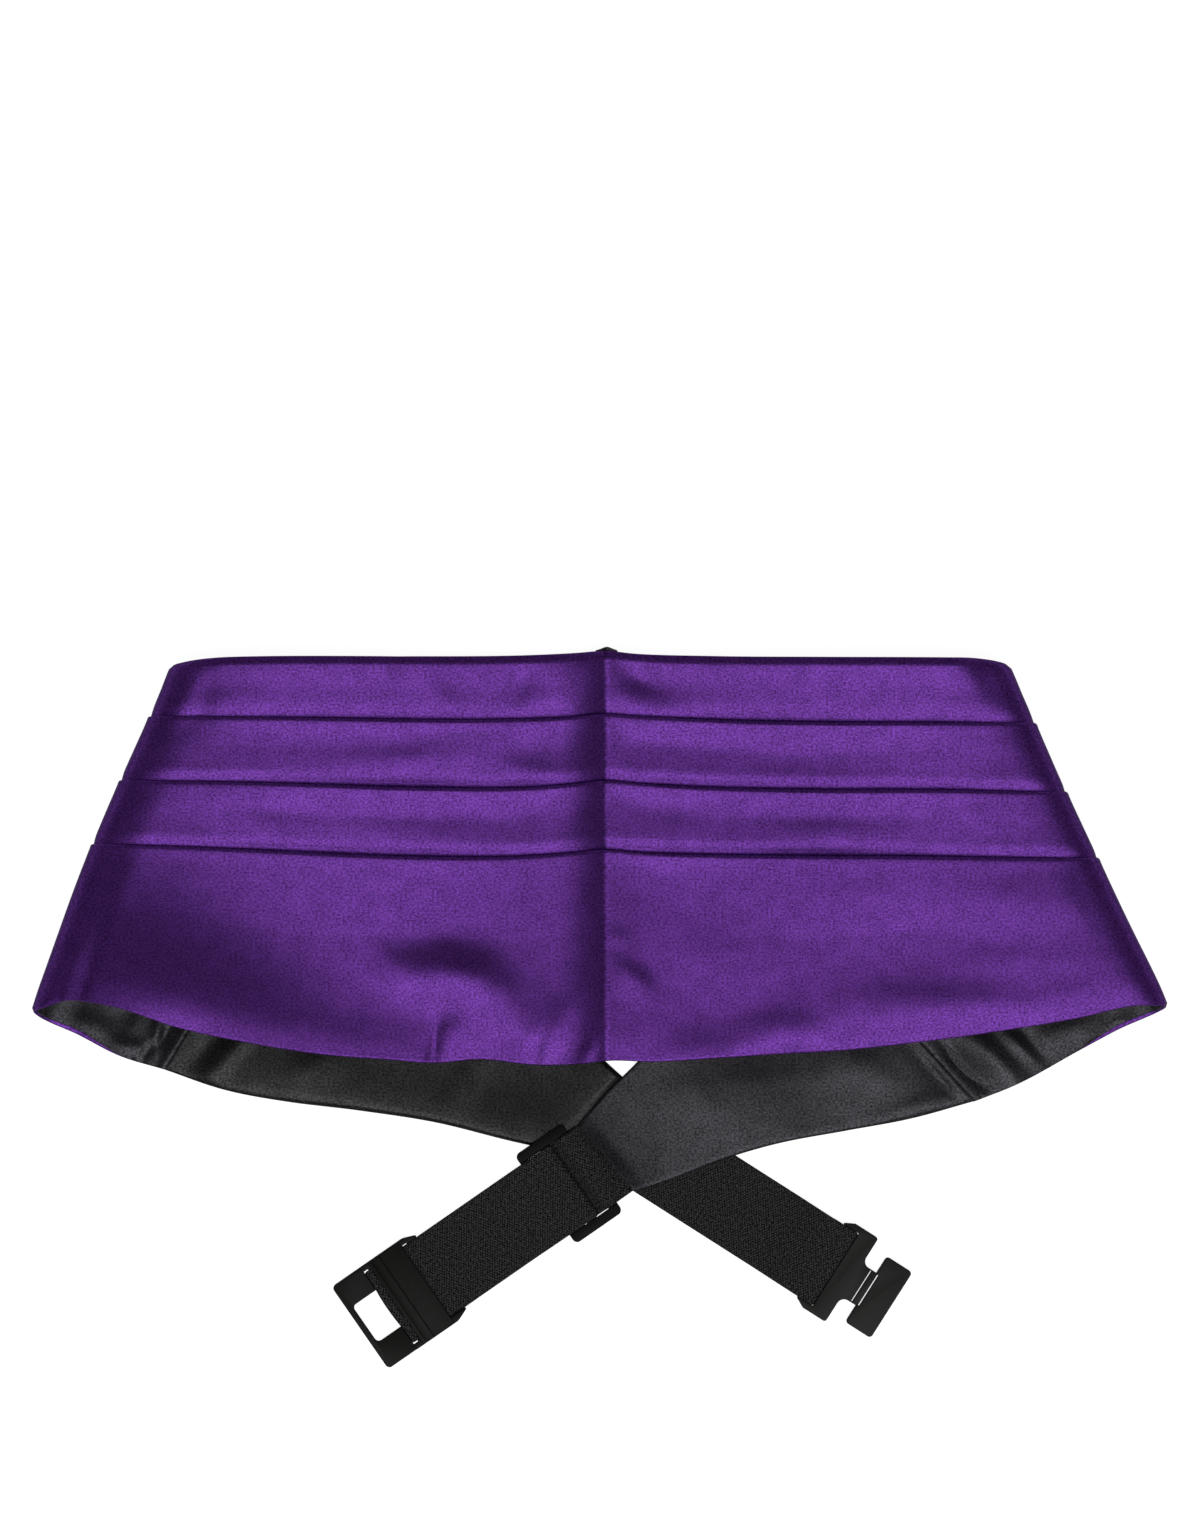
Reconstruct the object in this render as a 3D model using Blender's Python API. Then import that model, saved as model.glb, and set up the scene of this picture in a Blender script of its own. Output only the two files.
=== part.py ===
"""A pleated satin cummerbund, laid flat: the front panel on top, both sides rolled under, the tails crossed.

Millimetres below, metres in the meshes. X is to the right as seen from above, Y runs from the lower edge to the
upper edge, Z is up, and the table is z = 0. The cloth is worked out as it is cut, unfolded
along the waist, and then laid: flat across the front, round a slanted roll at each side, and back underneath.
"""

import math

import bmesh
import bpy
import numpy as np
from mathutils import Matrix, Vector

MM = 0.001
GAP = 0.3  # between neighbouring pieces

# Walls of cloth, elastic and moulded plastic
LINING_WALL = 1.0
SHELL_WALL = 1.0
LIP_WALL = 1.0  # the folded edge of a pleat, which lies on the band above it
TAIL_WALL = 1.2
ELASTIC_WALL = 1.2
ELASTIC_WIDTH = 30.1
BAR_WALL = 1.2

PLEAT_TOP = SHELL_WALL + GAP + LIP_WALL  # outer face of a lip, from the shell's inner face
PLEAT_DEPTH = 6.0  # how far a band runs on under the next band's folded edge
LINING_INSET = 1.4  # from the shell's folded edge to the lining's

# Heights of the shell's inner face
BACK_HEIGHT = PLEAT_TOP  # underneath: the pleats lie flat on the table
SIDE_HEIGHT = 14.9  # where the roll starts
MIDDLE_HEIGHT = 5.6  # where the front has sunk on to the crossed tails
SAG_REACH = 125.0  # from the roll's start to where the front has come down

ROLL_REACH = 16.0  # plan width of the roll, from its start to its outermost ruling
ROLL_RISE = (SIDE_HEIGHT - BACK_HEIGHT) / 2
BULGE_REACH = 60.0  # how far into the flat cloth the side line's bulge is felt

# The packing fold down the middle of the front: a low ridge, with a broad flank on its left
RIDGE_X = 2.4
RIDGE_HEIGHT = 1.5
RIDGE_LEFT, RIDGE_RIGHT = 17.0, 9.0

# The edges and pleats across the front, mm from the origin, read where the cloth lies flat
PLEAT_LINES = (
    # x, top, pleat_1, pleat_2, pleat_3
    (-270.0, 123.8, 103.0, 80.0, 57.0),
    (-160.0, 123.8, 103.2, 80.2, 57.2),
    (-124.0, 124.9, 103.3, 80.0, 56.3),
    (-63.5, 124.5, 102.3, 78.4, 54.0),
    (-30.0, 124.8, 102.3, 78.2, 53.9),
    (-8.0, 125.7, 103.3, 79.6, 55.3),
    (2.4, 126.4, 104.1, 80.6, 56.3),
    (12.0, 125.5, 103.4, 79.9, 55.6),
    (39.5, 124.6, 102.2, 78.4, 54.7),
    (77.7, 124.3, 101.4, 77.5, 54.3),
    (122.0, 124.2, 101.3, 77.6, 54.0),
    (160.0, 123.7, 100.8, 76.8, 53.4),
    (290.0, 123.3, 101.5, 77.5, 54.0),
)

# The lower edge: a layer, then its place on the table
LOWER_EDGE = (
    # layer, x, y
    ("left_under", -154.2, -21.6),
    ("left_under", -168.8, -17.2),
    ("left_under", -183.0, -10.0),
    ("left_nose", -199.8, -1.0),
    ("front", -186.0, 2.8),
    ("front", -171.0, 1.0),
    ("front", -148.6, -6.2),
    ("front", -123.9, -11.7),
    ("front", -98.0, -16.0),
    ("front", -74.0, -18.0),
    ("front", -59.0, -19.2),
    ("front", -42.5, -17.9),
    ("front", -22.5, -19.9),
    ("front", -8.5, -19.6),
    ("front", 3.2, -18.3),
    ("front", 18.4, -18.7),
    ("front", 39.5, -17.5),
    ("front", 63.5, -15.9),
    ("front", 86.8, -14.5),
    ("front", 110.5, -11.9),
    ("front", 139.8, -7.9),
    ("front", 168.7, -3.2),
    ("front", 186.0, 0.6),
    ("right_nose", 200.3, 1.0),
    ("right_under", 180.9, -8.6),
    ("right_under", 168.7, -15.2),
    ("right_under", 145.4, -27.8),
    ("right_under", 133.2, -32.6),
)

# The largest folds of the front: centre, half length and half width, direction, and how deep they dip
FOLDS_START = 25.0  # they grow to their full depth over this distance from a roll
FRONT_FOLDS = (
    # x, y, half_length, half_width, degrees, depth
    (-140.0, 25.0, 40.0, 11.0, -30.0, 0.9),
    (-55.0, 18.0, 22.0, 6.0, 12.0, 0.8),
    (-150.0, 37.0, 26.0, 6.0, -8.0, 0.6),
    (-28.0, 110.0, 6.0, 12.0, 80.0, 0.5),
    (24.0, 112.0, 20.0, 6.0, -46.0, 0.5),
    (118.0, 12.0, 36.0, 7.0, 2.0, 0.6),
    (38.0, -6.0, 22.0, 6.0, 8.0, 0.6),
    (-52.0, -8.0, 8.0, 5.0, 70.0, 0.8),
    (-24.0, -8.0, 8.0, 5.0, 100.0, 0.7),
)

# The lining's seams to the tails, on the table: inner end, then outer end
SEAMS = {
    "left": ((-97.0, 73.4), (-154.2, -21.6)),
    "right": ((67.4, 39.4), (133.2, -32.6)),
}

# The tails, on the table: a row for each section, from the seam to the elastic
TAIL_SECTIONS = {
    "left": (
        # inner_x, inner_y, outer_x, outer_y, underside_z
        (-97.0, 73.4, -154.2, -21.6, 0.0),
        (-77.0, 54.8, -133.0, -28.8, 0.0),
        (-57.0, 36.2, -111.0, -33.0, 0.0),
        (-37.0, 17.6, -85.0, -36.2, 0.0),
        (-17.0, -1.0, -58.0, -40.4, 0.0),
        (2.3, -19.0, -30.0, -47.3, 0.0),
        (12.7, -28.4, -2.8, -52.8, 0.0),
    ),
    "right": (
        (67.4, 39.4, 133.2, -32.6, 0.0),
        (53.0, 24.0, 110.0, -39.0, 0.0),
        (39.0, 9.0, 87.0, -43.3, 0.1),
        (26.0, -5.0, 64.0, -47.5, TAIL_WALL + GAP),
        (13.0, -19.0, 44.0, -53.2, TAIL_WALL + GAP),
        (2.5, -29.5, 27.0, -59.7, TAIL_WALL + GAP),
        (-7.6, -41.0, 12.2, -64.8, 2.3),
    ),
}

# Where the two straps lie: a place on the table and the way their axis points, in degrees from +X
EYE_FAR_END = (-84.8, -112.9)  # middle of the buckle's far edge
EYE_AXIS = 34.7  # from there back to the tail
HOOK_LINE = (83.5, -92.5)  # middle of the elastic's end line at the hook
HOOK_AXIS = -32.5  # from there out to the hook's tip

# Along the eye buckle's axis, from its far edge
EYE_WIDTH = 35.2
EYE_BORDER = 2.1
EYE_WINDOW_WIDTH = 15.6
EYE_SLOT = (12.3, 16.2)
EYE_BAR = (15.0, 18.0)
EYE_BRIDGE_END = 28.6
EYE_BODY_END = 30.2
EYE_EAR_END = 34.7
EYE_FRAME_TOP = 3.4
EYE_RAIL_TOP = 5.5
EYE_BRIDGE = (4.7, 6.0)  # underside and top
EYE_GROOVES = (18.6, 21.1)

# Along the slider, from the eye buckle's far edge
SLIDER = (79.6, 99.9)
SLIDER_WIDTH = 38.0
SLIDER_BARS = ((79.6, 82.6), (88.0, 90.8), (96.9, 99.9))
SLIDER_UNDERSIDE = 3.0

# Along the hook's axis, from the elastic's end line
HOOK_WIDTH = 35.0
HOOK_FRONT = 6.5
HOOK_EAR_START = -3.0
HOOK_EAR_END = -6.6
HOOK_BAR = (-6.3, -3.5)
HOOK_NECK_END = 12.4
HOOK_NECK_WIDTH = 13.6
HOOK_TIP = 23.1
HOOK_HEAD_WIDTH = 27.5
HOOK_TOP = 3.4
HOOK_CHANNEL = (10.4, 13.4)
HOOK_CHANNEL_DEPTH = 1.2

BAR_Z = (ELASTIC_WALL + GAP, ELASTIC_WALL + GAP + 1.4)  # a bar inside a loop of elastic that lies on the table
STRAP_CLEARANCE = GAP + ELASTIC_WIDTH / 2  # from a strap's axis to the plastic beside it

COLOURS = {
    # name: linear red, green, blue, roughness
    "purple_satin": (0.10, 0.025, 0.26, 0.38),
    "black_satin": (0.014, 0.014, 0.016, 0.42),
    "black_elastic": (0.012, 0.012, 0.012, 0.85),
    "black_plastic": (0.011, 0.011, 0.010, 0.55),
}


def smooth_curve(places, values, at):
    """Values between rows on a smooth curve that passes through each of them."""
    slopes = np.gradient(values, places)
    at = np.clip(at, places[0], places[-1])
    row = np.clip(np.searchsorted(places, at) - 1, 0, len(places) - 2)
    width = places[row + 1] - places[row]
    f = (at - places[row]) / width
    start = (1 + 2 * f) * (1 - f) ** 2 * values[row] + f * (1 - f) ** 2 * width * slopes[row]
    end = f**2 * (3 - 2 * f) * values[row + 1] + f**2 * (f - 1) * width * slopes[row + 1]
    return start + end


def fade(distance, reach):
    """1 at no distance, falling softly to 0 at the reach."""
    return 0.5 + 0.5 * np.cos(np.pi * np.clip(distance / reach, 0, 1))


class Fold:
    """One side, where the cloth rolls round a slanted line and goes back underneath.

    A place on the unfolded cloth is measured across the line, as its distance past the roll's start, and along
    it. The roll is half an ellipse whose rulings are parallel to the line.
    """

    def __init__(self, side, lean, outermost, bulge):
        lean = math.radians(lean)
        self.out = np.array((side * math.cos(lean), math.sin(lean)))
        self.down = np.array((side * math.sin(lean), -math.cos(lean)))
        self.start = outermost - ROLL_REACH
        self.bulge = np.array(bulge).T
        turns = np.linspace(0, np.pi, 361)
        steps = np.hypot(ROLL_REACH * np.cos(turns), ROLL_RISE * np.sin(turns))
        self.turns = turns
        self.arc = np.concatenate(([0], np.cumsum((steps[1:] + steps[:-1]) / 2 * np.diff(turns))))
        self.length = self.arc[-1]

    def past(self, x, y):
        return self.out[0] * x + self.out[1] * y - self.start

    def line(self, past, y):
        """The x, on the unfolded cloth, of the ruling that lies past the roll's start, at height y."""
        return (self.start + past - self.out[1] * y) / self.out[0]

    def unfold(self, x, y, layer="under"):
        """The place on the unfolded cloth of a place underneath, or at the roll's outermost ruling."""
        past = self.length / 2 if layer == "nose" else self.length - self.past(x, y)
        along = self.down[0] * x + self.down[1] * y
        return self.out * (self.start + past) + self.down * along

    def lay(self, x, y):
        """Plan and height of the shell's inner face past the roll's start."""
        past = self.past(x, y)
        along = self.down[0] * x + self.down[1] * y
        turn = np.interp(past, self.arc, self.turns)
        out = np.where(past < 0, past, ROLL_REACH * np.sin(turn) - np.maximum(past - self.length, 0))
        away = np.maximum(-past, past - self.length)
        bulge = smooth_curve(self.bulge[0], self.bulge[1], self.out[1] * self.start + self.down[1] * along)
        out = out + bulge * fade(np.maximum(away, 0), BULGE_REACH)
        height = BACK_HEIGHT + ROLL_RISE * (1 + np.cos(turn))
        plan_x = self.out[0] * (self.start + out) + self.down[0] * along
        plan_y = self.out[1] * (self.start + out) + self.down[1] * along
        return plan_x, plan_y, height


FOLDS = {
    # side, lean from upright, outermost ruling; then the bulge of the side line by height
    "left": Fold(-1, 21.5, 184.2, ((-60, 0.2), (0, 0.7), (45, 1.7), (75, 0.6), (95, -0.6), (115, -1.2), (160, -1.6))),
    "right": Fold(1, 24.6, 180.0, ((-60, 0.8), (0, 1.0), (25, 0.1), (45, -0.3), (75, -0.8), (95, -0.6), (160, 0.1))),
}


def front_height(x, y):
    """Height of the front above the table: high at both rolls, sunk in the middle, with its ridge and folds."""
    left = np.maximum(-FOLDS["left"].past(x, y), 0)
    right = np.maximum(-FOLDS["right"].past(x, y), 0)
    sag = np.clip(fade(left, SAG_REACH) + fade(right, SAG_REACH), 0, 1)
    height = MIDDLE_HEIGHT + (SIDE_HEIGHT - MIDDLE_HEIGHT) * sag
    aside = x - RIDGE_X
    flank = np.clip(1 - np.where(aside < 0, -aside / RIDGE_LEFT, aside / RIDGE_RIGHT), 0, 1)
    height = height + RIDGE_HEIGHT * flank**1.6
    inside = 1 - fade(np.minimum(left, right), FOLDS_START)
    for fold_x, fold_y, half_length, half_width, degrees, depth in FRONT_FOLDS:
        turn = math.radians(degrees)
        along = (x - fold_x) * math.cos(turn) + (y - fold_y) * math.sin(turn)
        across = (y - fold_y) * math.cos(turn) - (x - fold_x) * math.sin(turn)
        height = height - depth * inside * np.exp(-((along / half_length) ** 2) - (across / half_width) ** 2)
    return height


def lay(x, y):
    """Place on the table of a place on the unfolded cloth, on the shell's inner face, as arrays."""
    left, right = FOLDS["left"], FOLDS["right"]
    on_left, on_right = left.lay(x, y), right.lay(x, y)
    is_left = x < RIDGE_X
    plan = [np.where(is_left, a, b) for a, b in zip(on_left, on_right)]
    rolled = np.where(is_left, left.past(x, y), right.past(x, y)) > 0
    return np.stack((plan[0], plan[1], np.where(rolled, plan[2], front_height(x, y))), axis=-1)


def cloth(x, y, out):
    """The point that stands out from the shell's inner face by a distance, positive on the outer side."""
    step = 0.05
    along = lay(x + step, y) - lay(x - step, y)
    across = lay(x, y + step) - lay(x, y - step)
    normal = np.cross(along, across)
    normal /= np.linalg.norm(normal, axis=-1, keepdims=True)
    return lay(x, y) + normal * np.asarray(out)[..., None]


def lower_edge_rows():
    """The lower edge on the unfolded cloth, from the left seam to the right one."""
    rows = []
    for place, x, y in LOWER_EDGE:
        side, _, layer = place.partition("_")
        rows.append(FOLDS[side].unfold(x, y, layer) if layer else (x, y))
    return np.array(sorted(map(tuple, rows))).T


EDGE_X, EDGE_Y = lower_edge_rows()
LINES = np.array(PLEAT_LINES).T


def stations():
    """Each station as its x at two heights, 100 and 0, and how far it is round to the back, 0 to 1."""
    under, rolled, front = 5, 8, 15
    rows = []
    for side, fold in FOLDS.items():
        (inner, outer) = (fold.unfold(*place) for place in SEAMS[side])
        slope = (inner[0] - outer[0]) / (inner[1] - outer[1])
        seam = np.array([outer[0] + slope * (height - outer[1]) for height in (100.0, 0.0)])
        start, end = (np.array([fold.line(past, height) for height in (100.0, 0.0)]) for past in (0, fold.length))
        one_side = [(seam + (end - seam) * i / under, 1.0) for i in range(under)]
        for i in range(rolled):
            past = np.interp(np.pi * (1 - i / rolled), fold.turns, fold.arc)
            line = np.array([fold.line(past, height) for height in (100.0, 0.0)])
            one_side.append((line, 1 - i / rolled))
        middle = np.array((RIDGE_X, RIDGE_X))
        for i in range(front):
            share = 1 - (1 - i / front) ** 1.35
            one_side.append((start + (middle - start) * share, 0.0))
        rows.append(one_side)
    return rows[0] + [(np.array((RIDGE_X, RIDGE_X)), 0.0)] + rows[1][::-1]


def station_heights(line):
    """Heights of the top edge, the pleats and the lower edge where they cross a station."""
    heights = []
    curves = [(LINES[0], LINES[column]) for column in range(1, 5)] + [(EDGE_X, EDGE_Y)]
    for places, values in curves:
        y = values[len(values) // 2]
        for _ in range(12):
            x = line[1] + (line[0] - line[1]) * y / 100.0
            y = float(smooth_curve(places, values, np.array(x)))
        heights.append(y)
    return heights


# A pleated band from its top line down: mm below that line, or above the next one, and the outer face's distance
# from the shell's inner face, in front and underneath
BAND_ROWS = (
    # from, mm, out_in_front, out_underneath
    ("top", 3.0, 2.45, 2.3),
    ("middle", 0.0, 2.25, 2.3),
    ("next", 5.0, 1.75, 2.3),
    ("next", 2.0, 1.3, 1.9),
)
LOWER_BAND_ROWS = (
    # share of the way down, out_in_front, out_underneath
    (0.06, 2.45, 2.3),
    (0.18, 2.2, 2.3),
    (0.32, 2.0, 2.3),
    (0.46, 1.85, 2.3),
    (0.60, 1.75, 2.3),
    (0.74, 1.7, 2.3),
    (0.87, 1.6, 2.3),
)
EDGE_ROUND = 0.6


def shell_section(heights, under):
    """The shell's closed section as (y, out) pairs: down its outer face with the pleats, and up its inner face."""
    top, *pleats, bottom = heights
    rows = [(top - EDGE_ROUND, 0.0), (top, 0.6), (top - EDGE_ROUND, 1.2 + 0.9 * under)]
    starts, ends = [top] + pleats[:2], pleats
    for number, (upper, lower) in enumerate(zip(starts, ends)):
        for origin, away, in_front, underneath in BAND_ROWS:
            y = {"top": upper - away, "middle": (upper + lower) / 2, "next": lower + away}[origin]
            if number == 0:
                in_front = min(in_front, 1.55)
            rows.append((y, in_front + (underneath - in_front) * under))
        rows += [
            (lower - PLEAT_DEPTH, SHELL_WALL),
            (lower - PLEAT_DEPTH, SHELL_WALL + GAP),
            (lower - 0.5, SHELL_WALL + GAP),
            (lower, SHELL_WALL + GAP + LIP_WALL / 2),
            (lower - 0.5, PLEAT_TOP),
        ]
    last = pleats[-1]
    for share, in_front, underneath in LOWER_BAND_ROWS:
        rows.append((last + (bottom - last) * share, in_front + (underneath - in_front) * under))
    rows += [(bottom + 2.5, 1.5 + 0.8 * under), (bottom + EDGE_ROUND, 1.1 + 1.0 * under), (bottom, 0.6)]
    return rows + [(y, 0.0) for y in (bottom + EDGE_ROUND, *inner_rows(heights)[::-1])]


def inner_rows(heights):
    """Heights that the shell's inner face and the lining share, so that they stay parallel in every fold."""
    return np.linspace(heights[0] - LINING_INSET, heights[-1] + LINING_INSET, 12)


def lining_section(heights, _under):
    """The lining's closed section: its face towards the shell, then the face that shows inside."""
    near = inner_rows(heights)
    return [(y, -GAP) for y in near] + [(y, -GAP - LINING_WALL) for y in near[::-1]]


def laid_rings(section_at):
    rings = []
    for line, under in stations():
        section = np.array(section_at(station_heights(line), under))
        y = section[:, 0]
        x = line[1] + (line[0] - line[1]) * y / 100.0
        rings.append(cloth(x, y, section[:, 1]))
    return rings


def tail_rings(side):
    """A tail's rings: flat across, with its long edges rounded, and moved along by a gap at its seam."""
    table = np.array(TAIL_SECTIONS[side])
    places = np.arange(len(table), dtype=float)
    steps = np.linspace(0, len(table) - 1, 2 * len(table) - 1)
    columns = [smooth_curve(places, table[:, column], steps) for column in range(5)]
    columns[4] = np.maximum(columns[4], 0)
    across = np.array((0.0, 0.02, 0.3, 0.65, 0.98, 1.0))
    profile = np.array([(f, 0.5 if f in (0.0, 1.0) else 1.0) for f in across] + [(f, 0.0) for f in across[4:0:-1]])
    rings = []
    for inner_x, inner_y, outer_x, outer_y, under in zip(*columns):
        inner, outer = np.array((inner_x, inner_y)), np.array((outer_x, outer_y))
        plan = inner + (outer - inner) * profile[:, :1]
        rings.append(np.column_stack((plan, under + TAIL_WALL * profile[:, 1])))
    seam_step = rings[1] - rings[0]
    rings[0] = rings[0] + seam_step / np.linalg.norm(seam_step[:, :2], axis=1, keepdims=True) * 2 * GAP
    return rings


def material(name):
    found = bpy.data.materials.get(name)
    if found:
        return found
    made = bpy.data.materials.new(name)
    made.use_nodes = True
    red, green, blue, roughness = COLOURS[name]
    shader = made.node_tree.nodes["Principled BSDF"]
    shader.inputs["Base Color"].default_value = (red, green, blue, 1)
    shader.inputs["Roughness"].default_value = roughness
    shader.inputs["Metallic"].default_value = 0.0
    made.diffuse_color = (red, green, blue, 1)
    return made


def add_object(name, bm, finish):
    mesh = bpy.data.meshes.new(name)
    bm.to_mesh(mesh)
    bm.free()
    made = bpy.data.objects.new(name, mesh)
    bpy.context.scene.collection.objects.link(made)
    if finish:
        mesh.materials.append(material(finish))
        mesh.shade_smooth()
        mesh.set_sharp_from_angle(angle=math.radians(35))
    return made


def loft(name, rings, finish):
    """A closed solid through rings of points: a grid wrapped round them, with both ends filled."""
    along, around = len(rings) - 1, len(rings[0])
    bm = bmesh.new()
    bmesh.ops.create_grid(bm, x_segments=along, y_segments=around, size=0.5)
    for vert in bm.verts:
        ring = round((vert.co.x + 0.5) * along)
        place = round((vert.co.y + 0.5) * around) % around
        vert.co = Vector(rings[ring][place]) * MM
    bmesh.ops.remove_doubles(bm, verts=bm.verts[:], dist=1e-7)
    bmesh.ops.holes_fill(bm, edges=[edge for edge in bm.edges if edge.is_boundary], sides=0)
    bmesh.ops.triangulate(bm, faces=bm.faces[:], quad_method="SHORT_EDGE")
    bmesh.ops.recalc_face_normals(bm, faces=bm.faces[:])
    return add_object(name, bm, finish)


def strap_frame(place, degrees):
    """Local axes of a strap: along it, across it and up, with the origin on the table."""
    turn = Matrix.Rotation(math.radians(degrees), 4, "Z")
    return Matrix.Translation(Vector((place[0], place[1], 0))) @ turn


EYE_FRAME = strap_frame(EYE_FAR_END, EYE_AXIS)
HOOK_FRAME = strap_frame(HOOK_LINE, HOOK_AXIS)


def strap(name, frame, path, start_line):
    """A strip of elastic along a path of (along, up) points. Its first end is cut along a line of two places."""
    path = np.array(path)
    slope = np.gradient(path, axis=0)
    normal = np.column_stack((-slope[:, 1], slope[:, 0]))
    normal /= np.linalg.norm(normal, axis=1, keepdims=True)
    half = ELASTIC_WIDTH / 2
    to_local = frame.inverted()
    ends = [to_local @ Vector((x, y, 0)) for x, y in start_line]
    slant = (ends[1].x - ends[0].x) / (ends[1].y - ends[0].y)
    rings = []
    for index, (place, out) in enumerate(zip(path, normal)):
        ring = []
        for across, side in ((-half, -1), (half, -1), (half, 1), (-half, 1)):
            along, up = place + out * side * ELASTIC_WALL / 2
            if index == 0:
                along = ends[0].x + slant * (across - ends[0].y)
            ring.append(frame @ Vector((along, across, up)))
        rings.append(ring)
    return loft(name, rings, "black_elastic")


def arc(centre, radius, start, end, count):
    """Points on an arc in the plane of a strap's length and height, angles in degrees."""
    turns = np.radians(np.linspace(start, end, count))
    return [(centre[0] + radius * math.cos(t), centre[1] + radius * math.sin(t)) for t in turns]


def ease(start, end, count):
    """A soft S between two (along, up) points, without its ends."""
    shares = np.linspace(0, 1, count + 2)[1:-1]
    return [
        (start[0] + (end[0] - start[0]) * f, start[1] + (end[1] - start[1]) * (0.5 - 0.5 * math.cos(math.pi * f)))
        for f in shares
    ]


def slider_strap_path():
    """From the right tail over, under and back along the slider, round the eye buckle's bar, and back on top."""
    half = ELASTIC_WALL / 2
    low, stacked = half, ELASTIC_WALL + GAP + half
    beneath = SLIDER_UNDERSIDE - GAP - half
    above = SLIDER_UNDERSIDE + BAR_WALL + GAP + half
    bar_middle = (BAR_Z[0] + BAR_Z[1]) / 2
    turn = bar_middle - low
    loop_centre = EYE_SLOT[0] + GAP + half + turn
    nose = SLIDER_BARS[1][1] + GAP + half
    seam_up = TAIL_SECTIONS["right"][-1][4] + TAIL_WALL / 2
    points = [(105.5, seam_up), (102.6, seam_up + 0.7), (100.6, above - 0.5), (99.2, above), (97.6, above)]
    points += [(96.4, above - 0.35), (95.3, above - 1.3), (94.2, above - 2.3), (92.9, beneath + 0.15)]
    points += [(91.2, beneath), (86.0, beneath)] + ease((86.0, beneath), (72.0, low), 5)
    points += [(72.0, low), (52.0, low), (32.0, low)]
    points += arc((loop_centre, bar_middle), turn, 270, 90, 9)
    over = bar_middle + turn
    points += [(EYE_BRIDGE_END + 0.5, over)] + ease((EYE_BRIDGE_END + 0.5, over), (46.0, stacked), 5)
    points += [(46.0, stacked), (62.0, stacked)] + ease((62.0, stacked), (79.0, above), 6)
    points += [(79.0, above), (85.0, above)] + arc((nose - 1.3, above - 1.3), 1.3, 90, 0, 5)
    return points + [(nose, SLIDER_UNDERSIDE + 0.3)]


def hook_strap_path():
    """From the left tail along the table, over the hook's bar, down its slot and back under the bar."""
    half = ELASTIC_WALL / 2
    middle = (BAR_Z[0] + BAR_Z[1]) / 2
    turn = middle - half
    centre = -GAP - half - turn
    points = [(-95.0, half), (-80.0, half), (-60.0, half), (-40.0, half), (-28.0, half)]
    points += ease((-28.0, half), (-9.5, middle + turn), 6)
    return points + [(-9.5, middle + turn)] + arc((centre, middle), turn, 90, -90, 9) + [(-10.2, half)]


def prism(name, frame, outline, z, round_corners=(), radius=0.0, finish=None):
    """A plate of an outline of (along, across) points between two heights, with named corners rounded."""
    bm = bmesh.new()
    base = bm.faces.new([bm.verts.new((along, across, z[0])) for along, across in outline])
    raised = bmesh.ops.extrude_face_region(bm, geom=[base])
    lifted = [item for item in raised["geom"] if isinstance(item, bmesh.types.BMVert)]
    bmesh.ops.translate(bm, verts=lifted, vec=(0, 0, z[1] - z[0]))
    corners = [outline[number] for number in round_corners]
    upright = [
        edge
        for edge in bm.edges
        if abs(edge.verts[0].co.z - edge.verts[1].co.z) > 0.5 * (z[1] - z[0])
        and any(math.dist(edge.verts[0].co[:2], corner) < 1e-4 for corner in corners)
    ]
    if upright:
        bmesh.ops.bevel(
            bm, geom=upright, offset=radius, offset_type="OFFSET", segments=4, profile=0.5, affect="EDGES", material=-1
        )
    bmesh.ops.recalc_face_normals(bm, faces=bm.faces[:])
    bmesh.ops.transform(bm, matrix=Matrix.Scale(MM, 4) @ frame, verts=bm.verts[:])
    made = add_object(name, bm, finish)
    if not finish:
        made.hide_render = True
        made.display_type = "WIRE"
    return made


def rectangle(along, across):
    return [(along[0], across[0]), (along[1], across[0]), (along[1], across[1]), (along[0], across[1])]


def cut(target, cutter, operation="DIFFERENCE"):
    modifier = target.modifiers.new(cutter.name, "BOOLEAN")
    modifier.operation = operation
    modifier.object = cutter
    modifier.solver = "EXACT"


def eye_buckle():
    """The eye buckle: a plate with a window for the hook, a bar for the elastic and a ribbed bridge over it."""
    wide, clear, window = EYE_WIDTH / 2, STRAP_CLEARANCE, EYE_WINDOW_WIDTH / 2
    half = [(0, wide), (EYE_BODY_END, wide), (EYE_EAR_END, clear + 0.7), (EYE_EAR_END, clear)]
    half += [(EYE_SLOT[0], clear), (EYE_SLOT[0], window), (EYE_BORDER, window)]
    outline = half + [(along, -across) for along, across in reversed(half)]
    body = prism("buckle_eye", EYE_FRAME, outline, (0, EYE_RAIL_TOP), (0, 13), 2.4, "black_plastic")
    far_part = rectangle((-1, EYE_SLOT[0] + 0.6), (-wide - 1, wide + 1))
    cut(body, prism("eye_far_part", EYE_FRAME, far_part, (EYE_FRAME_TOP, 9)))
    bar = rectangle(EYE_BAR, (-clear - 0.8, clear + 0.8))
    cut(body, prism("eye_bar", EYE_FRAME, bar, BAR_Z), "UNION")
    bridge = rectangle((EYE_SLOT[1], EYE_BRIDGE_END), (-wide + 0.4, wide - 0.4))
    cut(body, prism("eye_bridge", EYE_FRAME, bridge, EYE_BRIDGE), "UNION")
    for number, rib in enumerate(EYE_GROOVES):
        groove = rectangle((rib - 0.35, rib + 0.35), (-wide - 1, wide + 1))
        cut(body, prism(f"eye_groove_{number}", EYE_FRAME, groove, (EYE_RAIL_TOP + 0.1, 9)))
    return body


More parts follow.
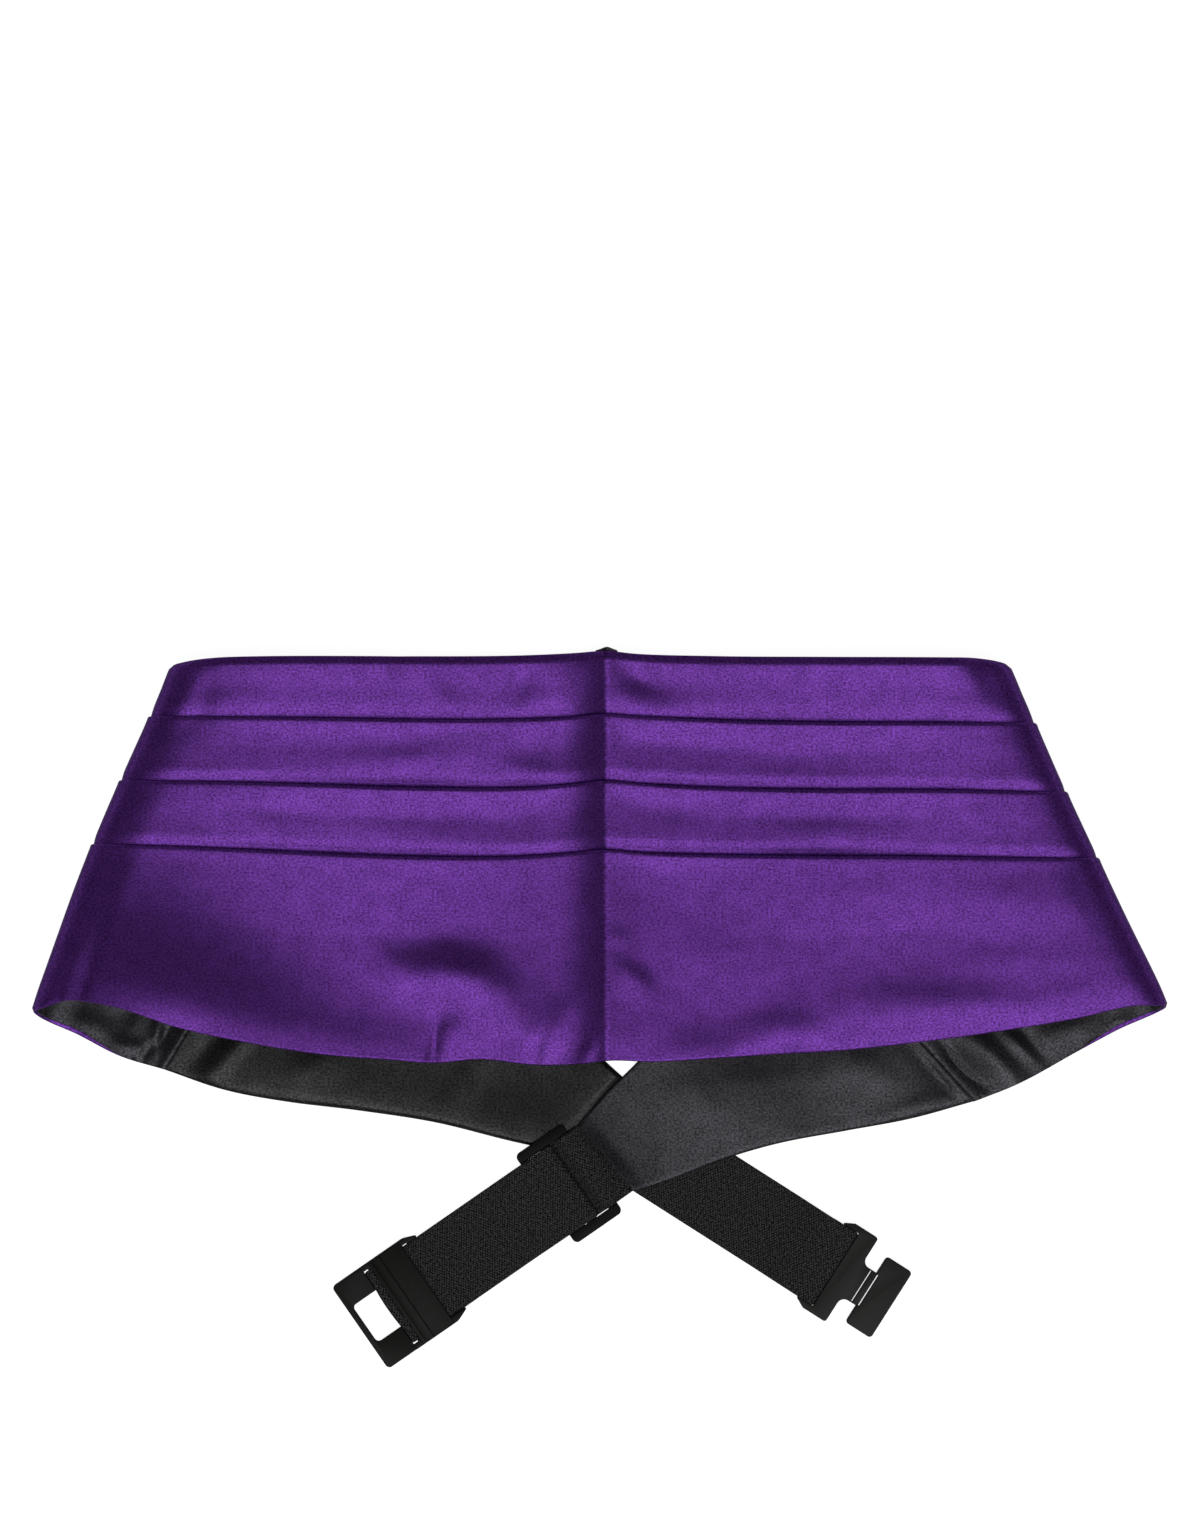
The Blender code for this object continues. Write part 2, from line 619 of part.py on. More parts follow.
def hook():
    """The hook: a bar for the elastic behind a front strip, and a wide head on a neck with a channel across it."""
    wide, clear, neck, head = HOOK_WIDTH / 2, STRAP_CLEARANCE, HOOK_NECK_WIDTH / 2, HOOK_HEAD_WIDTH / 2
    half = [(HOOK_TIP, head), (HOOK_NECK_END, head), (HOOK_NECK_END, neck), (HOOK_FRONT, neck)]
    half += [(HOOK_FRONT, wide), (HOOK_EAR_START, wide), (HOOK_EAR_END, clear + 0.5), (HOOK_EAR_END, clear)]
    half += [(0.0, clear)]
    outline = half + [(along, -across) for along, across in reversed(half)]
    body = prism("hook", HOOK_FRAME, outline, (0, HOOK_TOP), (0, 17), 1.3, "black_plastic")
    bar = rectangle(HOOK_BAR, (-clear - 0.4, clear + 0.4))
    cut(body, prism("hook_bar", HOOK_FRAME, bar, BAR_Z), "UNION")
    channel = rectangle(HOOK_CHANNEL, (-head - 1, head + 1))
    cut(body, prism("hook_channel", HOOK_FRAME, channel, (HOOK_TOP - HOOK_CHANNEL_DEPTH, 9)))
    return body


def slider():
    """The slider: a flat frame with a middle bar between two slots."""
    half = SLIDER_WIDTH / 2
    z = (SLIDER_UNDERSIDE, SLIDER_UNDERSIDE + BAR_WALL)
    body = prism("slider", EYE_FRAME, rectangle(SLIDER, (-half, half)), z, range(4), 1.9, "black_plastic")
    for number in (0, 1):
        between = (SLIDER_BARS[number][1], SLIDER_BARS[number + 1][0])
        slot = rectangle(between, (-STRAP_CLEARANCE, STRAP_CLEARANCE))
        cut(body, prism(f"slider_slot_{number}", EYE_FRAME, slot, (z[0] - 1, z[1] + 1)))
    return body


def moved_line(line, along, distance):
    """A line of two places, moved by a distance in the direction of a strap."""
    direction = np.array((math.cos(math.radians(along)), math.sin(math.radians(along)))) * distance
    return [tuple(np.array(place) + direction) for place in line]


def build():
    for old in list(bpy.data.objects):
        bpy.data.objects.remove(old, do_unlink=True)
    loft("shell", laid_rings(shell_section), "purple_satin")
    loft("lining", laid_rings(lining_section), "black_satin")
    for side in ("left", "right"):
        loft("tail_" + side, tail_rings(side), "black_satin")
    left_end, right_end = (TAIL_SECTIONS[side][-1] for side in ("left", "right"))
    left_line = moved_line((left_end[:2], left_end[2:4]), HOOK_AXIS, 2 * GAP)
    right_line = moved_line((right_end[:2], right_end[2:4]), EYE_AXIS, -2 * GAP)
    strap("strap_hook", HOOK_FRAME, hook_strap_path(), left_line)
    strap("strap_slider", EYE_FRAME, slider_strap_path(), right_line)
    slider()
    eye_buckle()
    hook()


build()
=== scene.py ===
# %% [markdown]
# # A pleated satin cummerbund, laid flat
# This file dresses the plain solids of a cummerbund in satin, elastic and moulded plastic. A cummerbund is
# a broad pleated sash: a satin shell with a lining behind it, a tapered tail on each side, and elastic that
# ends in a hook on one side and an eye buckle on the other. Here it lies on a table with both sides folded
# under and the tails crossed. Places and sizes are those of the solids. Lengths in the tables below are
# millimetres, and the meshes are in metres.

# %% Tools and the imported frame
import math

import bmesh
import bpy
import numpy as np
from mathutils import Matrix, Vector
from mathutils.bvhtree import BVHTree


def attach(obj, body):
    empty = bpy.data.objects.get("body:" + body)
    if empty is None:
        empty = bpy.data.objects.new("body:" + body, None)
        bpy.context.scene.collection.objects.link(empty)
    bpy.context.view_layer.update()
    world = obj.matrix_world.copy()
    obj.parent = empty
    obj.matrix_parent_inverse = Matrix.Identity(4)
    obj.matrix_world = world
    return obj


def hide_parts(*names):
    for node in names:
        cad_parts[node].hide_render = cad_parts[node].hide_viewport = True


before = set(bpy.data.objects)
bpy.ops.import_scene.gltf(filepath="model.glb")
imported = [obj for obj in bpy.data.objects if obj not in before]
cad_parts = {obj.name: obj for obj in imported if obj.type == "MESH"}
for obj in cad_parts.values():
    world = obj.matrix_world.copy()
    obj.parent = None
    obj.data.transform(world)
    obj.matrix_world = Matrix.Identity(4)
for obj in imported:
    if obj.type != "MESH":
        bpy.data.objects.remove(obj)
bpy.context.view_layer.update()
MM = 0.001
print("solids:", sorted(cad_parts))

# %% [markdown]
# ## Camera
# The photograph looks straight down. A long lens from far above keeps the raised folds from growing at the
# edges of the picture, so the outline stays the one that was measured.

# %% Camera straight above
CAMERA_HEIGHT = 3.2
VIEW_TALL = 0.5401  # how much of the table the long side of the picture takes in
VIEW_CENTRE_Y = 0.086
VIEW_LEVEL = 0.005  # the height at which the scale is exact

camera_data = bpy.data.cameras.new("overhead_camera")
camera_data.lens = camera_data.sensor_width * (CAMERA_HEIGHT - VIEW_LEVEL) / VIEW_TALL
camera = bpy.data.objects.new("overhead_camera", camera_data)
camera.location = (0, VIEW_CENTRE_Y, CAMERA_HEIGHT)
bpy.context.scene.collection.objects.link(camera)
bpy.context.scene.camera = camera
print("lens", round(camera_data.lens, 1), "mm")

# %% [markdown]
# ## Floor and light
# Satin shows its folds through the light that glances off it. One broad soft light reaches from almost
# overhead down towards the lower edge, a little to the right. Cloth that lies level mirrors the edge of
# this light. A slope that faces it shines, and a slope that turns away mirrors the dim surround and goes
# dark. Low round the horizon the surround is brighter, as the walls of a pale room are, which lights the
# steep sides.

# %% Floor, surround and soft light
scene = bpy.context.scene
scene.view_settings.view_transform = "Standard"
scene.view_settings.exposure = 0.0
SURROUND_LOW, SURROUND_HIGH = 0.36, 0.08  # its brightness at the horizon, and from half way up

surround = bpy.data.worlds.new("dim_surround")
surround.use_nodes = True
sky, sky_links = surround.node_tree.nodes, surround.node_tree.links
heading = sky.new("ShaderNodeTexCoord")
height_of_view = sky.new("ShaderNodeSeparateXYZ")
by_height = sky.new("ShaderNodeMapRange")
by_height.interpolation_type = "SMOOTHSTEP"
for socket, value in (("From Max", 0.5), ("To Min", SURROUND_LOW), ("To Max", SURROUND_HIGH)):
    by_height.inputs[socket].default_value = value
sky_links.new(heading.outputs["Generated"], height_of_view.inputs[0])
sky_links.new(height_of_view.outputs["Z"], by_height.inputs["Value"])
sky_links.new(by_height.outputs[0], sky["Background"].inputs["Strength"])
sky["Background"].inputs["Color"].default_value = (1.0, 1.0, 1.0, 1)
scene.world = surround


def soft_light(name, tilt_down, tilt_right, distance, size, power):
    """A rectangular area light over the middle of the cloth, tilted from upright in degrees."""
    data = bpy.data.lights.new(name, "AREA")
    data.shape = "RECTANGLE"
    data.size, data.size_y = size
    data.energy = power
    right, down = (math.tan(math.radians(tilt)) for tilt in (tilt_right, tilt_down))
    direction = Vector((right, -down, 1)).normalized()
    made = bpy.data.objects.new(name, data)
    made.location = direction * distance
    made.rotation_euler = direction.to_track_quat("Z", "Y").to_euler()
    scene.collection.objects.link(made)
    return made


window = soft_light("window", tilt_down=24, tilt_right=3, distance=3.6, size=(2.75, 2.62), power=27.3)
print("window light at", [round(c, 2) for c in window.location])

FLOOR_HALF, FLOOR_DROP = 4.0, 0.0003
floor_bm = bmesh.new()
bmesh.ops.create_grid(floor_bm, x_segments=1, y_segments=1, size=FLOOR_HALF)
bmesh.ops.translate(floor_bm, verts=floor_bm.verts[:], vec=(0, 0, -FLOOR_DROP))
floor_mesh = bpy.data.meshes.new("table_top")
floor_bm.to_mesh(floor_mesh)
floor_bm.free()
table_top = bpy.data.objects.new("table_top", floor_mesh)
scene.collection.objects.link(table_top)

# %% [markdown]
# ## Shader helpers
# Every finish is made of nodes. These helpers add a node with its settings and join sockets by name, so the
# recipes below read as short lists.


# %% Node helpers
def add_node(tree, kind, inputs=(), **settings):
    """A node with its settings, and its inputs set to values or linked from sockets."""
    node = tree.nodes.new(kind)
    for key, value in settings.items():
        setattr(node, key, value)
    for key, value in dict(inputs).items():
        if isinstance(value, bpy.types.NodeSocket):
            tree.links.new(value, node.inputs[key])
        else:
            node.inputs[key].default_value = value
    return node


def math_node(tree, operation, first, second=0.0, third=0.0):
    node = add_node(tree, "ShaderNodeMath", {0: first, 1: second, 2: third}, operation=operation)
    return node.outputs[0]


def new_group(name, inputs, outputs):
    """A shader group with its sockets, and its input and output nodes."""
    group = bpy.data.node_groups.new(name, "ShaderNodeTree")
    for socket, kind, value in inputs:
        made = group.interface.new_socket(socket, in_out="INPUT", socket_type=kind)
        if value is not None:
            made.default_value = value
    for socket, kind in outputs:
        group.interface.new_socket(socket, in_out="OUTPUT", socket_type=kind)
    return group, group.nodes.new("NodeGroupInput"), group.nodes.new("NodeGroupOutput")


def new_material(name, constants):
    """A material whose shader's plain numbers are set on its own sockets."""
    material = bpy.data.materials.new(name)
    material.use_nodes = True
    shader = material.node_tree.nodes["Principled BSDF"]
    for key, value in constants.items():
        shader.inputs[key].default_value = value
    return material, material.node_tree, shader


def tone_between(tree, share, dark, light):
    """A colour that moves from a dark tone to a light one."""
    tones = {"Factor": share, "A": (*dark, 1), "B": (*light, 1)}
    return add_node(tree, "ShaderNodeMix", tones, data_type="RGBA", clamp_factor=True).outputs["Result"]


def value_between(tree, share, low, high):
    """A value that moves from low to high."""
    return add_node(tree, "ShaderNodeMapRange", {"Value": share, "To Min": low, "To Max": high}).outputs[0]


def noise_on_piece(tree, scale, detail=2.0, roughness=0.5):
    """Noise that sits still on a piece, because it reads the piece's Object coordinates."""
    place = add_node(tree, "ShaderNodeTexCoord")
    inputs = {"Vector": place.outputs["Object"], "Scale": scale, "Detail": detail, "Roughness": roughness}
    return add_node(tree, "ShaderNodeTexNoise", inputs).outputs["Fac"]


def bump(tree, shader, height, strength, depth):
    """Raise and sink the shader's surface by a height, at most a depth in metres."""
    relief = add_node(tree, "ShaderNodeBump", {"Height": height, "Strength": strength, "Distance": depth})
    tree.links.new(relief.outputs[0], shader.inputs["Normal"])


VALUE, VECTOR = "NodeSocketFloat", "NodeSocketVector"

# %% [markdown]
# ## The satin weave
# Satin is woven so that long threads float on its face. From a step away they read as a fine silky grain,
# drawn out along the floats, with the odd thicker thread. Up close each thread is a tiny rounded rib. The
# group puts out a height for the bump and a shade for the colour, from the cloth's own flat coordinates, so
# the weave bends with each fold.

# %% Satin weave group
BAND_PER_MM = 0.314  # the scale at which a wave texture's band is one unit wide
THREAD_RIB, SLUB_SIZE, SLUB_TONE = 0.2, 0.12, 0.35
satin_weave, weave_in, weave_out = new_group(
    "satin_weave",
    [("Cloth", VECTOR, None), ("Thread mm", VALUE, 0.3), ("Grain mm", VALUE, 0.7)],
    [("Height", VALUE), ("Shade", VALUE)],
)


def cloth_in_mm(group, cloth):
    scaled = add_node(group, "ShaderNodeVectorMath", {0: cloth, "Scale": 1000.0}, operation="SCALE")
    return scaled.outputs[0]


def flat_noise(group, place, scale, detail, roughness=0.5):
    inputs = {"Vector": place, "Scale": scale, "Detail": detail, "Roughness": roughness}
    return add_node(group, "ShaderNodeTexNoise", inputs, noise_dimensions="2D").outputs["Fac"]


def wavy_bands(group, place, scale, distortion, detail_scale, direction):
    inputs = {"Vector": place, "Scale": scale, "Distortion": distortion, "Detail": 1.0}
    inputs["Detail Scale"] = detail_scale
    wave = add_node(group, "ShaderNodeTexWave", inputs, wave_type="BANDS", bands_direction=direction)
    return wave.outputs["Fac"]


satin_mm = cloth_in_mm(satin_weave, weave_in.outputs["Cloth"])
per_thread = math_node(satin_weave, "DIVIDE", BAND_PER_MM, weave_in.outputs["Thread mm"])
floats = wavy_bands(satin_weave, satin_mm, per_thread, 0.35, 1.0, "Y")
per_grain = math_node(satin_weave, "DIVIDE", 1.0, weave_in.outputs["Grain mm"])
drawn_out = add_node(
    satin_weave, "ShaderNodeMapping", {"Vector": satin_mm, "Scale": (0.8, 1.0, 1.0)}, vector_type="POINT"
).outputs[0]
grain = flat_noise(satin_weave, drawn_out, per_grain, 2.5, 0.75)
slubs = flat_noise(satin_weave, drawn_out, math_node(satin_weave, "MULTIPLY", per_grain, SLUB_SIZE), 1.0)
weave_height = math_node(satin_weave, "MULTIPLY_ADD", floats, THREAD_RIB, grain)
satin_weave.links.new(weave_height, weave_out.inputs["Height"])
fine_shade = add_node(satin_weave, "ShaderNodeMapRange", {"Value": grain, "From Min": 0.3, "From Max": 0.7})
slub_shade = math_node(satin_weave, "MULTIPLY_ADD", slubs, SLUB_TONE, -0.17)
weave_shade = math_node(satin_weave, "ADD", fine_shade.outputs[0], slub_shade)
satin_weave.links.new(weave_shade, weave_out.inputs["Shade"])
print("satin_weave:", len(satin_weave.nodes), "nodes")


# %% Satin materials
def woven(name, weave, threads, constants, tones, roughness, strength, depth):
    """Cloth whose colour and gloss move between two values with its weave, which bends with its UV map."""
    material, tree, shader = new_material(name, constants)
    cloth_uv = add_node(tree, "ShaderNodeUVMap", uv_map="cloth")
    placed = add_node(tree, "ShaderNodeGroup", {"Cloth": cloth_uv.outputs[0], **threads}, node_tree=weave)
    shade = placed.outputs["Shade"]
    tree.links.new(tone_between(tree, shade, *tones), shader.inputs["Base Color"])
    tree.links.new(value_between(tree, shade, *roughness), shader.inputs["Roughness"])
    bump(tree, shader, placed.outputs["Height"], strength, depth)
    return material


def satin(name, dark, light, constants, roughness):
    threads = {"Thread mm": 0.3, "Grain mm": 0.7}
    return woven(name, satin_weave, threads, constants, (dark, light), roughness, 0.35, 0.00012)


purple_satin = satin(
    "purple_satin",
    (0.080, 0.017, 0.180),
    (0.295, 0.080, 0.640),
    {"Metallic": 0.8, "IOR": 1.45, "Specular IOR Level": 0.5},
    (0.38, 0.31),
)
BLACK_SHEEN = {"Metallic": 0.85, "IOR": 1.5}
black_satin = satin(
    "black_satin", (0.012, 0.012, 0.0125), (0.095, 0.095, 0.098), BLACK_SHEEN, (0.34, 0.28)
)
# A lighter copy of the black satin, as painted light: the right tail and the lining get it, where they catch
# more light.
black_satin_painted_light = satin(
    "black_satin_painted_light", (0.018, 0.0175, 0.021), (0.138, 0.134, 0.150), BLACK_SHEEN, (0.38, 0.31)
)
print("satins:", purple_satin.name, black_satin.name, black_satin_painted_light.name)

# %% [markdown]
# ## Elastic, plastic, thread and table
# The elastic is a dense knitted strip: a fine diagonal check, broken up by an uneven grain. The buckles are
# moulded in matte black plastic with a faint grain, and the sewing thread is black too. The table is lit
# through by a little glow that only the camera sees, so it stays white without lighting the cloth from
# below.

# %% Elastic weave group
CHECK_LEAN = 0.62  # how far the two sets of cords lean, in radians
CHECK_SHARE, KNIT_SHARE = 0.6, 1.8
elastic_weave, strip_in, strip_out = new_group(
    "elastic_weave",
    [("Cloth", VECTOR, None), ("Pitch mm", VALUE, 0.85)],
    [("Height", VALUE), ("Shade", VALUE)],
)
strip_mm = cloth_in_mm(elastic_weave, strip_in.outputs["Cloth"])
strip_scale = math_node(elastic_weave, "DIVIDE", BAND_PER_MM, strip_in.outputs["Pitch mm"])
cords = []
for angle in (CHECK_LEAN, -CHECK_LEAN):
    turned = add_node(
        elastic_weave, "ShaderNodeVectorRotate", {"Vector": strip_mm, "Angle": angle}, rotation_type="Z_AXIS"
    )
    cords.append(wavy_bands(elastic_weave, turned.outputs[0], strip_scale, 0.6, 2.0, "X"))
check = math_node(elastic_weave, "MULTIPLY", *cords)
knit = flat_noise(elastic_weave, strip_mm, 1.2, 3.0, 0.8)
faint_check = math_node(elastic_weave, "MULTIPLY", check, CHECK_SHARE)
strip_height = math_node(elastic_weave, "MULTIPLY_ADD", knit, KNIT_SHARE, faint_check)
elastic_weave.links.new(strip_height, strip_out.inputs["Height"])
strip_shade = add_node(
    elastic_weave, "ShaderNodeMapRange", {"Value": strip_height, "From Min": 0.85, "From Max": 1.5}
)
elastic_weave.links.new(strip_shade.outputs[0], strip_out.inputs["Shade"])
print("elastic_weave:", len(elastic_weave.nodes), "nodes")

# %% Elastic, plastic and thread materials
black_elastic = woven(
    "black_elastic",
    elastic_weave,
    {"Pitch mm": 0.85},
    {"IOR": 1.45, "Specular IOR Level": 0.35},
    ((0.002, 0.002, 0.002), (0.150, 0.150, 0.152)),
    (0.85, 0.6),
    0.6,
    0.0002,
)


def moulded_plastic(name, dark, light, level):
    """Matte moulded plastic whose tone and gloss drift a little over its surface."""
    material, tree, shader = new_material(name, {"IOR": 1.5, "Specular IOR Level": level})
    fine = noise_on_piece(tree, 2600.0, 2.0, 0.6)
    cloud = noise_on_piece(tree, 160.0, 3.0, 0.6)
    tree.links.new(tone_between(tree, cloud, dark, light), shader.inputs["Base Color"])
    tree.links.new(value_between(tree, cloud, 0.40, 0.58), shader.inputs["Roughness"])
    bump(tree, shader, fine, 0.2, 0.00008)
    return material


eye_plastic = moulded_plastic("eye_plastic", (0.0065, 0.0068, 0.0055), (0.014, 0.0145, 0.012), 0.32)
hook_plastic = moulded_plastic("hook_plastic", (0.017, 0.0175, 0.016), (0.039, 0.0395, 0.036), 0.42)
# A darker copy of the plastic for the slider, as painted shade where it lies in shadow.
slider_plastic_painted_shade = moulded_plastic("slider_plastic_painted_shade", (0.003, 0.0028, 0.0025), (0.006, 0.0056, 0.005), 0.22)

black_thread, tree, shader = new_material("black_thread", {"Roughness": 0.5, "IOR": 1.5})
thread_tone = tone_between(tree, noise_on_piece(tree, 3000.0, 1.0), (0.008, 0.008, 0.008), (0.03, 0.03, 0.03))
tree.links.new(thread_tone, shader.inputs["Base Color"])
print("plastics and thread:", eye_plastic.name, hook_plastic.name, slider_plastic_painted_shade.name, black_thread.name)

# %% White table
TABLE_GLOW = 0.92
white_table, tree, shader = new_material("white_table", {"Roughness": 0.85, "Specular IOR Level": 0.2})
table_tone = tone_between(tree, noise_on_piece(tree, 9.0), (0.78, 0.78, 0.78), (0.82, 0.82, 0.82))
tree.links.new(table_tone, shader.inputs["Base Color"])
seen_by_camera = add_node(tree, "ShaderNodeLightPath").outputs["Is Camera Ray"]
glow = math_node(tree, "MULTIPLY", seen_by_camera, TABLE_GLOW)
lit_through = add_node(tree, "ShaderNodeEmission", {"Color": (1, 1, 1, 1), "Strength": glow})
both = add_node(tree, "ShaderNodeAddShader", {0: shader.outputs[0], 1: lit_through.outputs[0]})
tree.links.new(both.outputs[0], tree.nodes["Material Output"].inputs["Surface"])
floor_mesh.materials.append(white_table)
print("table:", white_table.name)

# %% [markdown]
# ## How the cloth is folded
# The panel is worked out as it is cut, flat, and then laid: across the front, round a slanted roll at each
# side, and back underneath. A place on the flat cloth is measured across the roll's slanted line, and along
# it. Because only the first of the two bends, the cloth neither stretches nor shrinks.

# %% Smooth curves through measured rows
GAP = 0.3  # left between two pieces that lie on each other


def smooth_curve(places, values, at):
    """Values between rows on a smooth curve that passes through each of them."""
    slopes = np.gradient(values, places)
    at = np.clip(at, places[0], places[-1])
    row = np.clip(np.searchsorted(places, at) - 1, 0, len(places) - 2)
    width = places[row + 1] - places[row]
    f = (at - places[row]) / width
    start = (1 + 2 * f) * (1 - f) ** 2 * values[row] + f * (1 - f) ** 2 * width * slopes[row]
    end = f**2 * (3 - 2 * f) * values[row + 1] + f**2 * (f - 1) * width * slopes[row + 1]
    return start + end


def fade(distance, reach):
    """1 at no distance, falling softly to 0 at the reach."""
    return 0.5 + 0.5 * np.cos(np.pi * np.clip(distance / reach, 0, 1))


# %% The two rolled sides
BACK_HEIGHT = 2.3  # the shell's inner face underneath
SIDE_HEIGHT = 14.9  # and where the roll starts
MIDDLE_HEIGHT = 5.6  # where the front rests on the crossed tails
SAG_LEFT, SAG_RIGHT = 125.0, 145.0  # how far in from each roll the front goes on sinking
ROLL_REACH = 16.0  # how far the roll stands out past the end of the front
ROLL_RISE = (SIDE_HEIGHT - BACK_HEIGHT) / 2
BULGE_REACH = 60.0
ARC_STEPS = 721


class Fold:
    """One side: a roll that is half an ellipse, a little squared, with rulings parallel to a slanted line."""

    def __init__(self, side, lean, outermost, square, bulge):
        lean = math.radians(lean)
        self.out = np.array((side * math.cos(lean), math.sin(lean)))
        self.down = np.array((side * math.sin(lean), -math.cos(lean)))
        self.start = outermost - ROLL_REACH
        self.bulge = np.array(bulge).T
        self.square = square
        self.turns = np.linspace(0, np.pi, ARC_STEPS)
        out, up = self.section(self.turns)
        self.arc = np.concatenate(([0], np.cumsum(np.hypot(np.diff(out), np.diff(up)))))
        self.length = self.arc[-1]

    def section(self, turn):
        """How far out and how high the roll is, from turn 0 at the front's end to pi at the back's start."""
        out = np.abs(np.sin(turn)) ** self.square
        up = np.sign(np.cos(turn)) * np.abs(np.cos(turn)) ** self.square
        return ROLL_REACH * out, BACK_HEIGHT + ROLL_RISE * (1 + up)

    def past(self, x, y):
        """How far a place on the flat cloth lies past the roll's start."""
        return self.out[0] * x + self.out[1] * y - self.start

    def line(self, past, y):
        """The x, on the flat cloth, of the ruling that lies past the roll's start, at height y."""
        return (self.start + past - self.out[1] * y) / self.out[0]

    def unfold(self, x, y, layer="under"):
        """The place on the flat cloth of a place underneath, or at the roll's outermost ruling."""
        past = self.length / 2 if layer == "nose" else self.length - self.past(x, y)
        along = self.down[0] * x + self.down[1] * y
        return self.out * (self.start + past) + self.down * along

    def lay(self, x, y):
        """Plan and height of the shell's inner face."""
        past = self.past(x, y)
        along = self.down[0] * x + self.down[1] * y
        turn = np.interp(past, self.arc, self.turns)
        rolled, height = self.section(turn)
        out = np.where(past < 0, past, rolled - np.maximum(past - self.length, 0))
        away = np.maximum(-past, past - self.length)
        bulge = smooth_curve(self.bulge[0], self.bulge[1], self.out[1] * self.start + self.down[1] * along)
        out = out + bulge * fade(np.maximum(away, 0), BULGE_REACH)
        plan_x = self.out[0] * (self.start + out) + self.down[0] * along
        plan_y = self.out[1] * (self.start + out) + self.down[1] * along
        return plan_x, plan_y, height


SIDE_BULGES = {
    # height, how far the side line stands out there
    "left": ((-60, 0.2), (0, 0.7), (45, 1.7), (75, 0.6), (95, -0.6), (115, -1.2), (160, -1.6)),
    "right": ((-60, 0.8), (0, 1.0), (25, 0.1), (45, -0.3), (75, -0.8), (95, -0.6), (160, 0.1)),
}
FOLDS = {
    # side, lean from upright, outermost ruling, how square
    "left": Fold(-1, 21.5, 184.2, 1.0, SIDE_BULGES["left"]),
    "right": Fold(1, 24.6, 180.0, 0.7, SIDE_BULGES["right"]),
}
print("cloth round each roll, mm:", {side: round(float(fold.length), 1) for side, fold in FOLDS.items()})

# %% [markdown]
# ## Creases, placed one by one
# No table of random bumps makes cloth look worn and handled. Each crease here is one soft ridge or trough
# where the real one lies, with its own length, width, direction and bend. The packing fold down the middle
# is the sharpest: its left flank drops quickly, and its right flank lies nearly flat.

# %% Crease tables of the front
RIDGE_X = 2.4
RIDGE_HEIGHT = 3.8
RIDGE_LEFT, RIDGE_RIGHT = 17.0, 34.0  # widths of its flanks
RIDGE_LEFT_LOW, LOW_FROM, LOW_REACH = 21.0, -20.0, 40.0  # the left flank broadens towards the lower edge
RIDGE_CURVE_LEFT, RIDGE_CURVE_RIGHT = 1.9, 1.6  # 1 would be straight flanks
CREASE_REACH = 10.0  # how far the creases run on into the rolls

FRONT_CREASES = (
    # x, y, half_length, upper width, lower width, degrees, bend, height
    # the long hollow of the lower left
    (-162, -8, 36, 30, 14, -6, 0, 4.2),
    (-158, -3, 34, 38, 14, -24, 0, 4.4),
    (-122, -13, 28, 22, 12, -20, 0, 2.9),
    (-84, -20, 29, 13, 8, -8, 0, 2.2),
    (-68, 12, 12, 6, 8, -30, 0, 0.8),
    # the short hollow left of the packing fold
    (-49.5, 12, 16, 8, 9, -15, -1, 2.9),
    (-33, -3, 13, 9, 6, -22, 0, 0.9),
    # puckers that fan up from the lower edge
    (-58.6, -14, 9, 2.4, 2.4, 82, 0, -1),
    (-52, -8, 9, 4.5, 7, 48, 0, 0.7),
    (-22.5, -15, 8, 2.4, 2.4, 70, 0, -0.9),
    (-19.5, -10.5, 13, 6, 5, 54, 0, 1),
    (-4, -15, 5, 2, 2.5, 60, 0, 0.5),
    # right of the packing fold
    (12, 10.5, 8, 3.5, 6, -40, 0, 0.65),
    (6.5, 25, 4, 2.5, 2.5, 10, 0, 0.25),
    (35, -17, 17, 8, 5, 2, -2, 1.4),
    (66, -9.5, 21, 8.5, 7, 2, -5, 1.3),
    (84, -12, 7, 4, 4, 80, 0, -0.3),
    (121, 1, 33, 8, 10, 1, 0, 1.35),
    (140, 17, 24, 5.5, 8, 2, 0, 0.45),
    (40, 20, 26, 10, 12, -12, 0, 0.5),
    (104, 40, 34, 12, 12, 6, 0, 0.5),
    (150, 36, 26, 12, 14, 5, 0, 0.9),
    (24, 82, 26, 14, 6, 0, 0, 1.1),
    (24, 58, 24, 14, 6, 0, 0, 1),
    # the top band
    (26, 101, 17, 13, 5, 0, 0, 1.1),
    (90, 132, 85, 10, 19, 0, 0, 3),
    (-95, 132, 70, 10, 19, 0, 0, 1.3),
    (-29, 113, 10, 4.5, 4.5, 66, 2, -0.7),
    (-10, 116, 10, 8, 8, 40, 0, 0.7),
    (14, 117.5, 12, 6, 6, -36, 0, -1.3),
    (-57, 111, 10, 5, 6, -50, 0, 0.45),
    (-72, 121, 4, 3, 3, 60, 0, -0.45),
    (-144.5, 112, 13, 9, 9, 62, 0, -1.4),
    # the second band
    (66, 89, 24, 6, 7, -4, 0, -0.5),
    (-55, 90, 26, 6, 8, 6, 0, 0.9),
    (-25, 84, 12, 4, 5, -8, 0, 0.6),
    (120, 92, 20, 6, 6, 8, 0, 0.38),
    (-85, 87, 32, 8, 5, 0, 0, 0.5),
    (-122, 75, 34, 8, 5, 0, 0, 0.45),
    # the third band
    (79, 60.5, 24, 7, 4, 3, 0, 0.8),
    (-122, 66, 16, 5, 7, -12, 0, 0.45),
    (-60, 61, 30, 5, 7, -6, 0, 0.45),
    (130, 68, 18, 5, 6, 6, 0, 0.38),
)


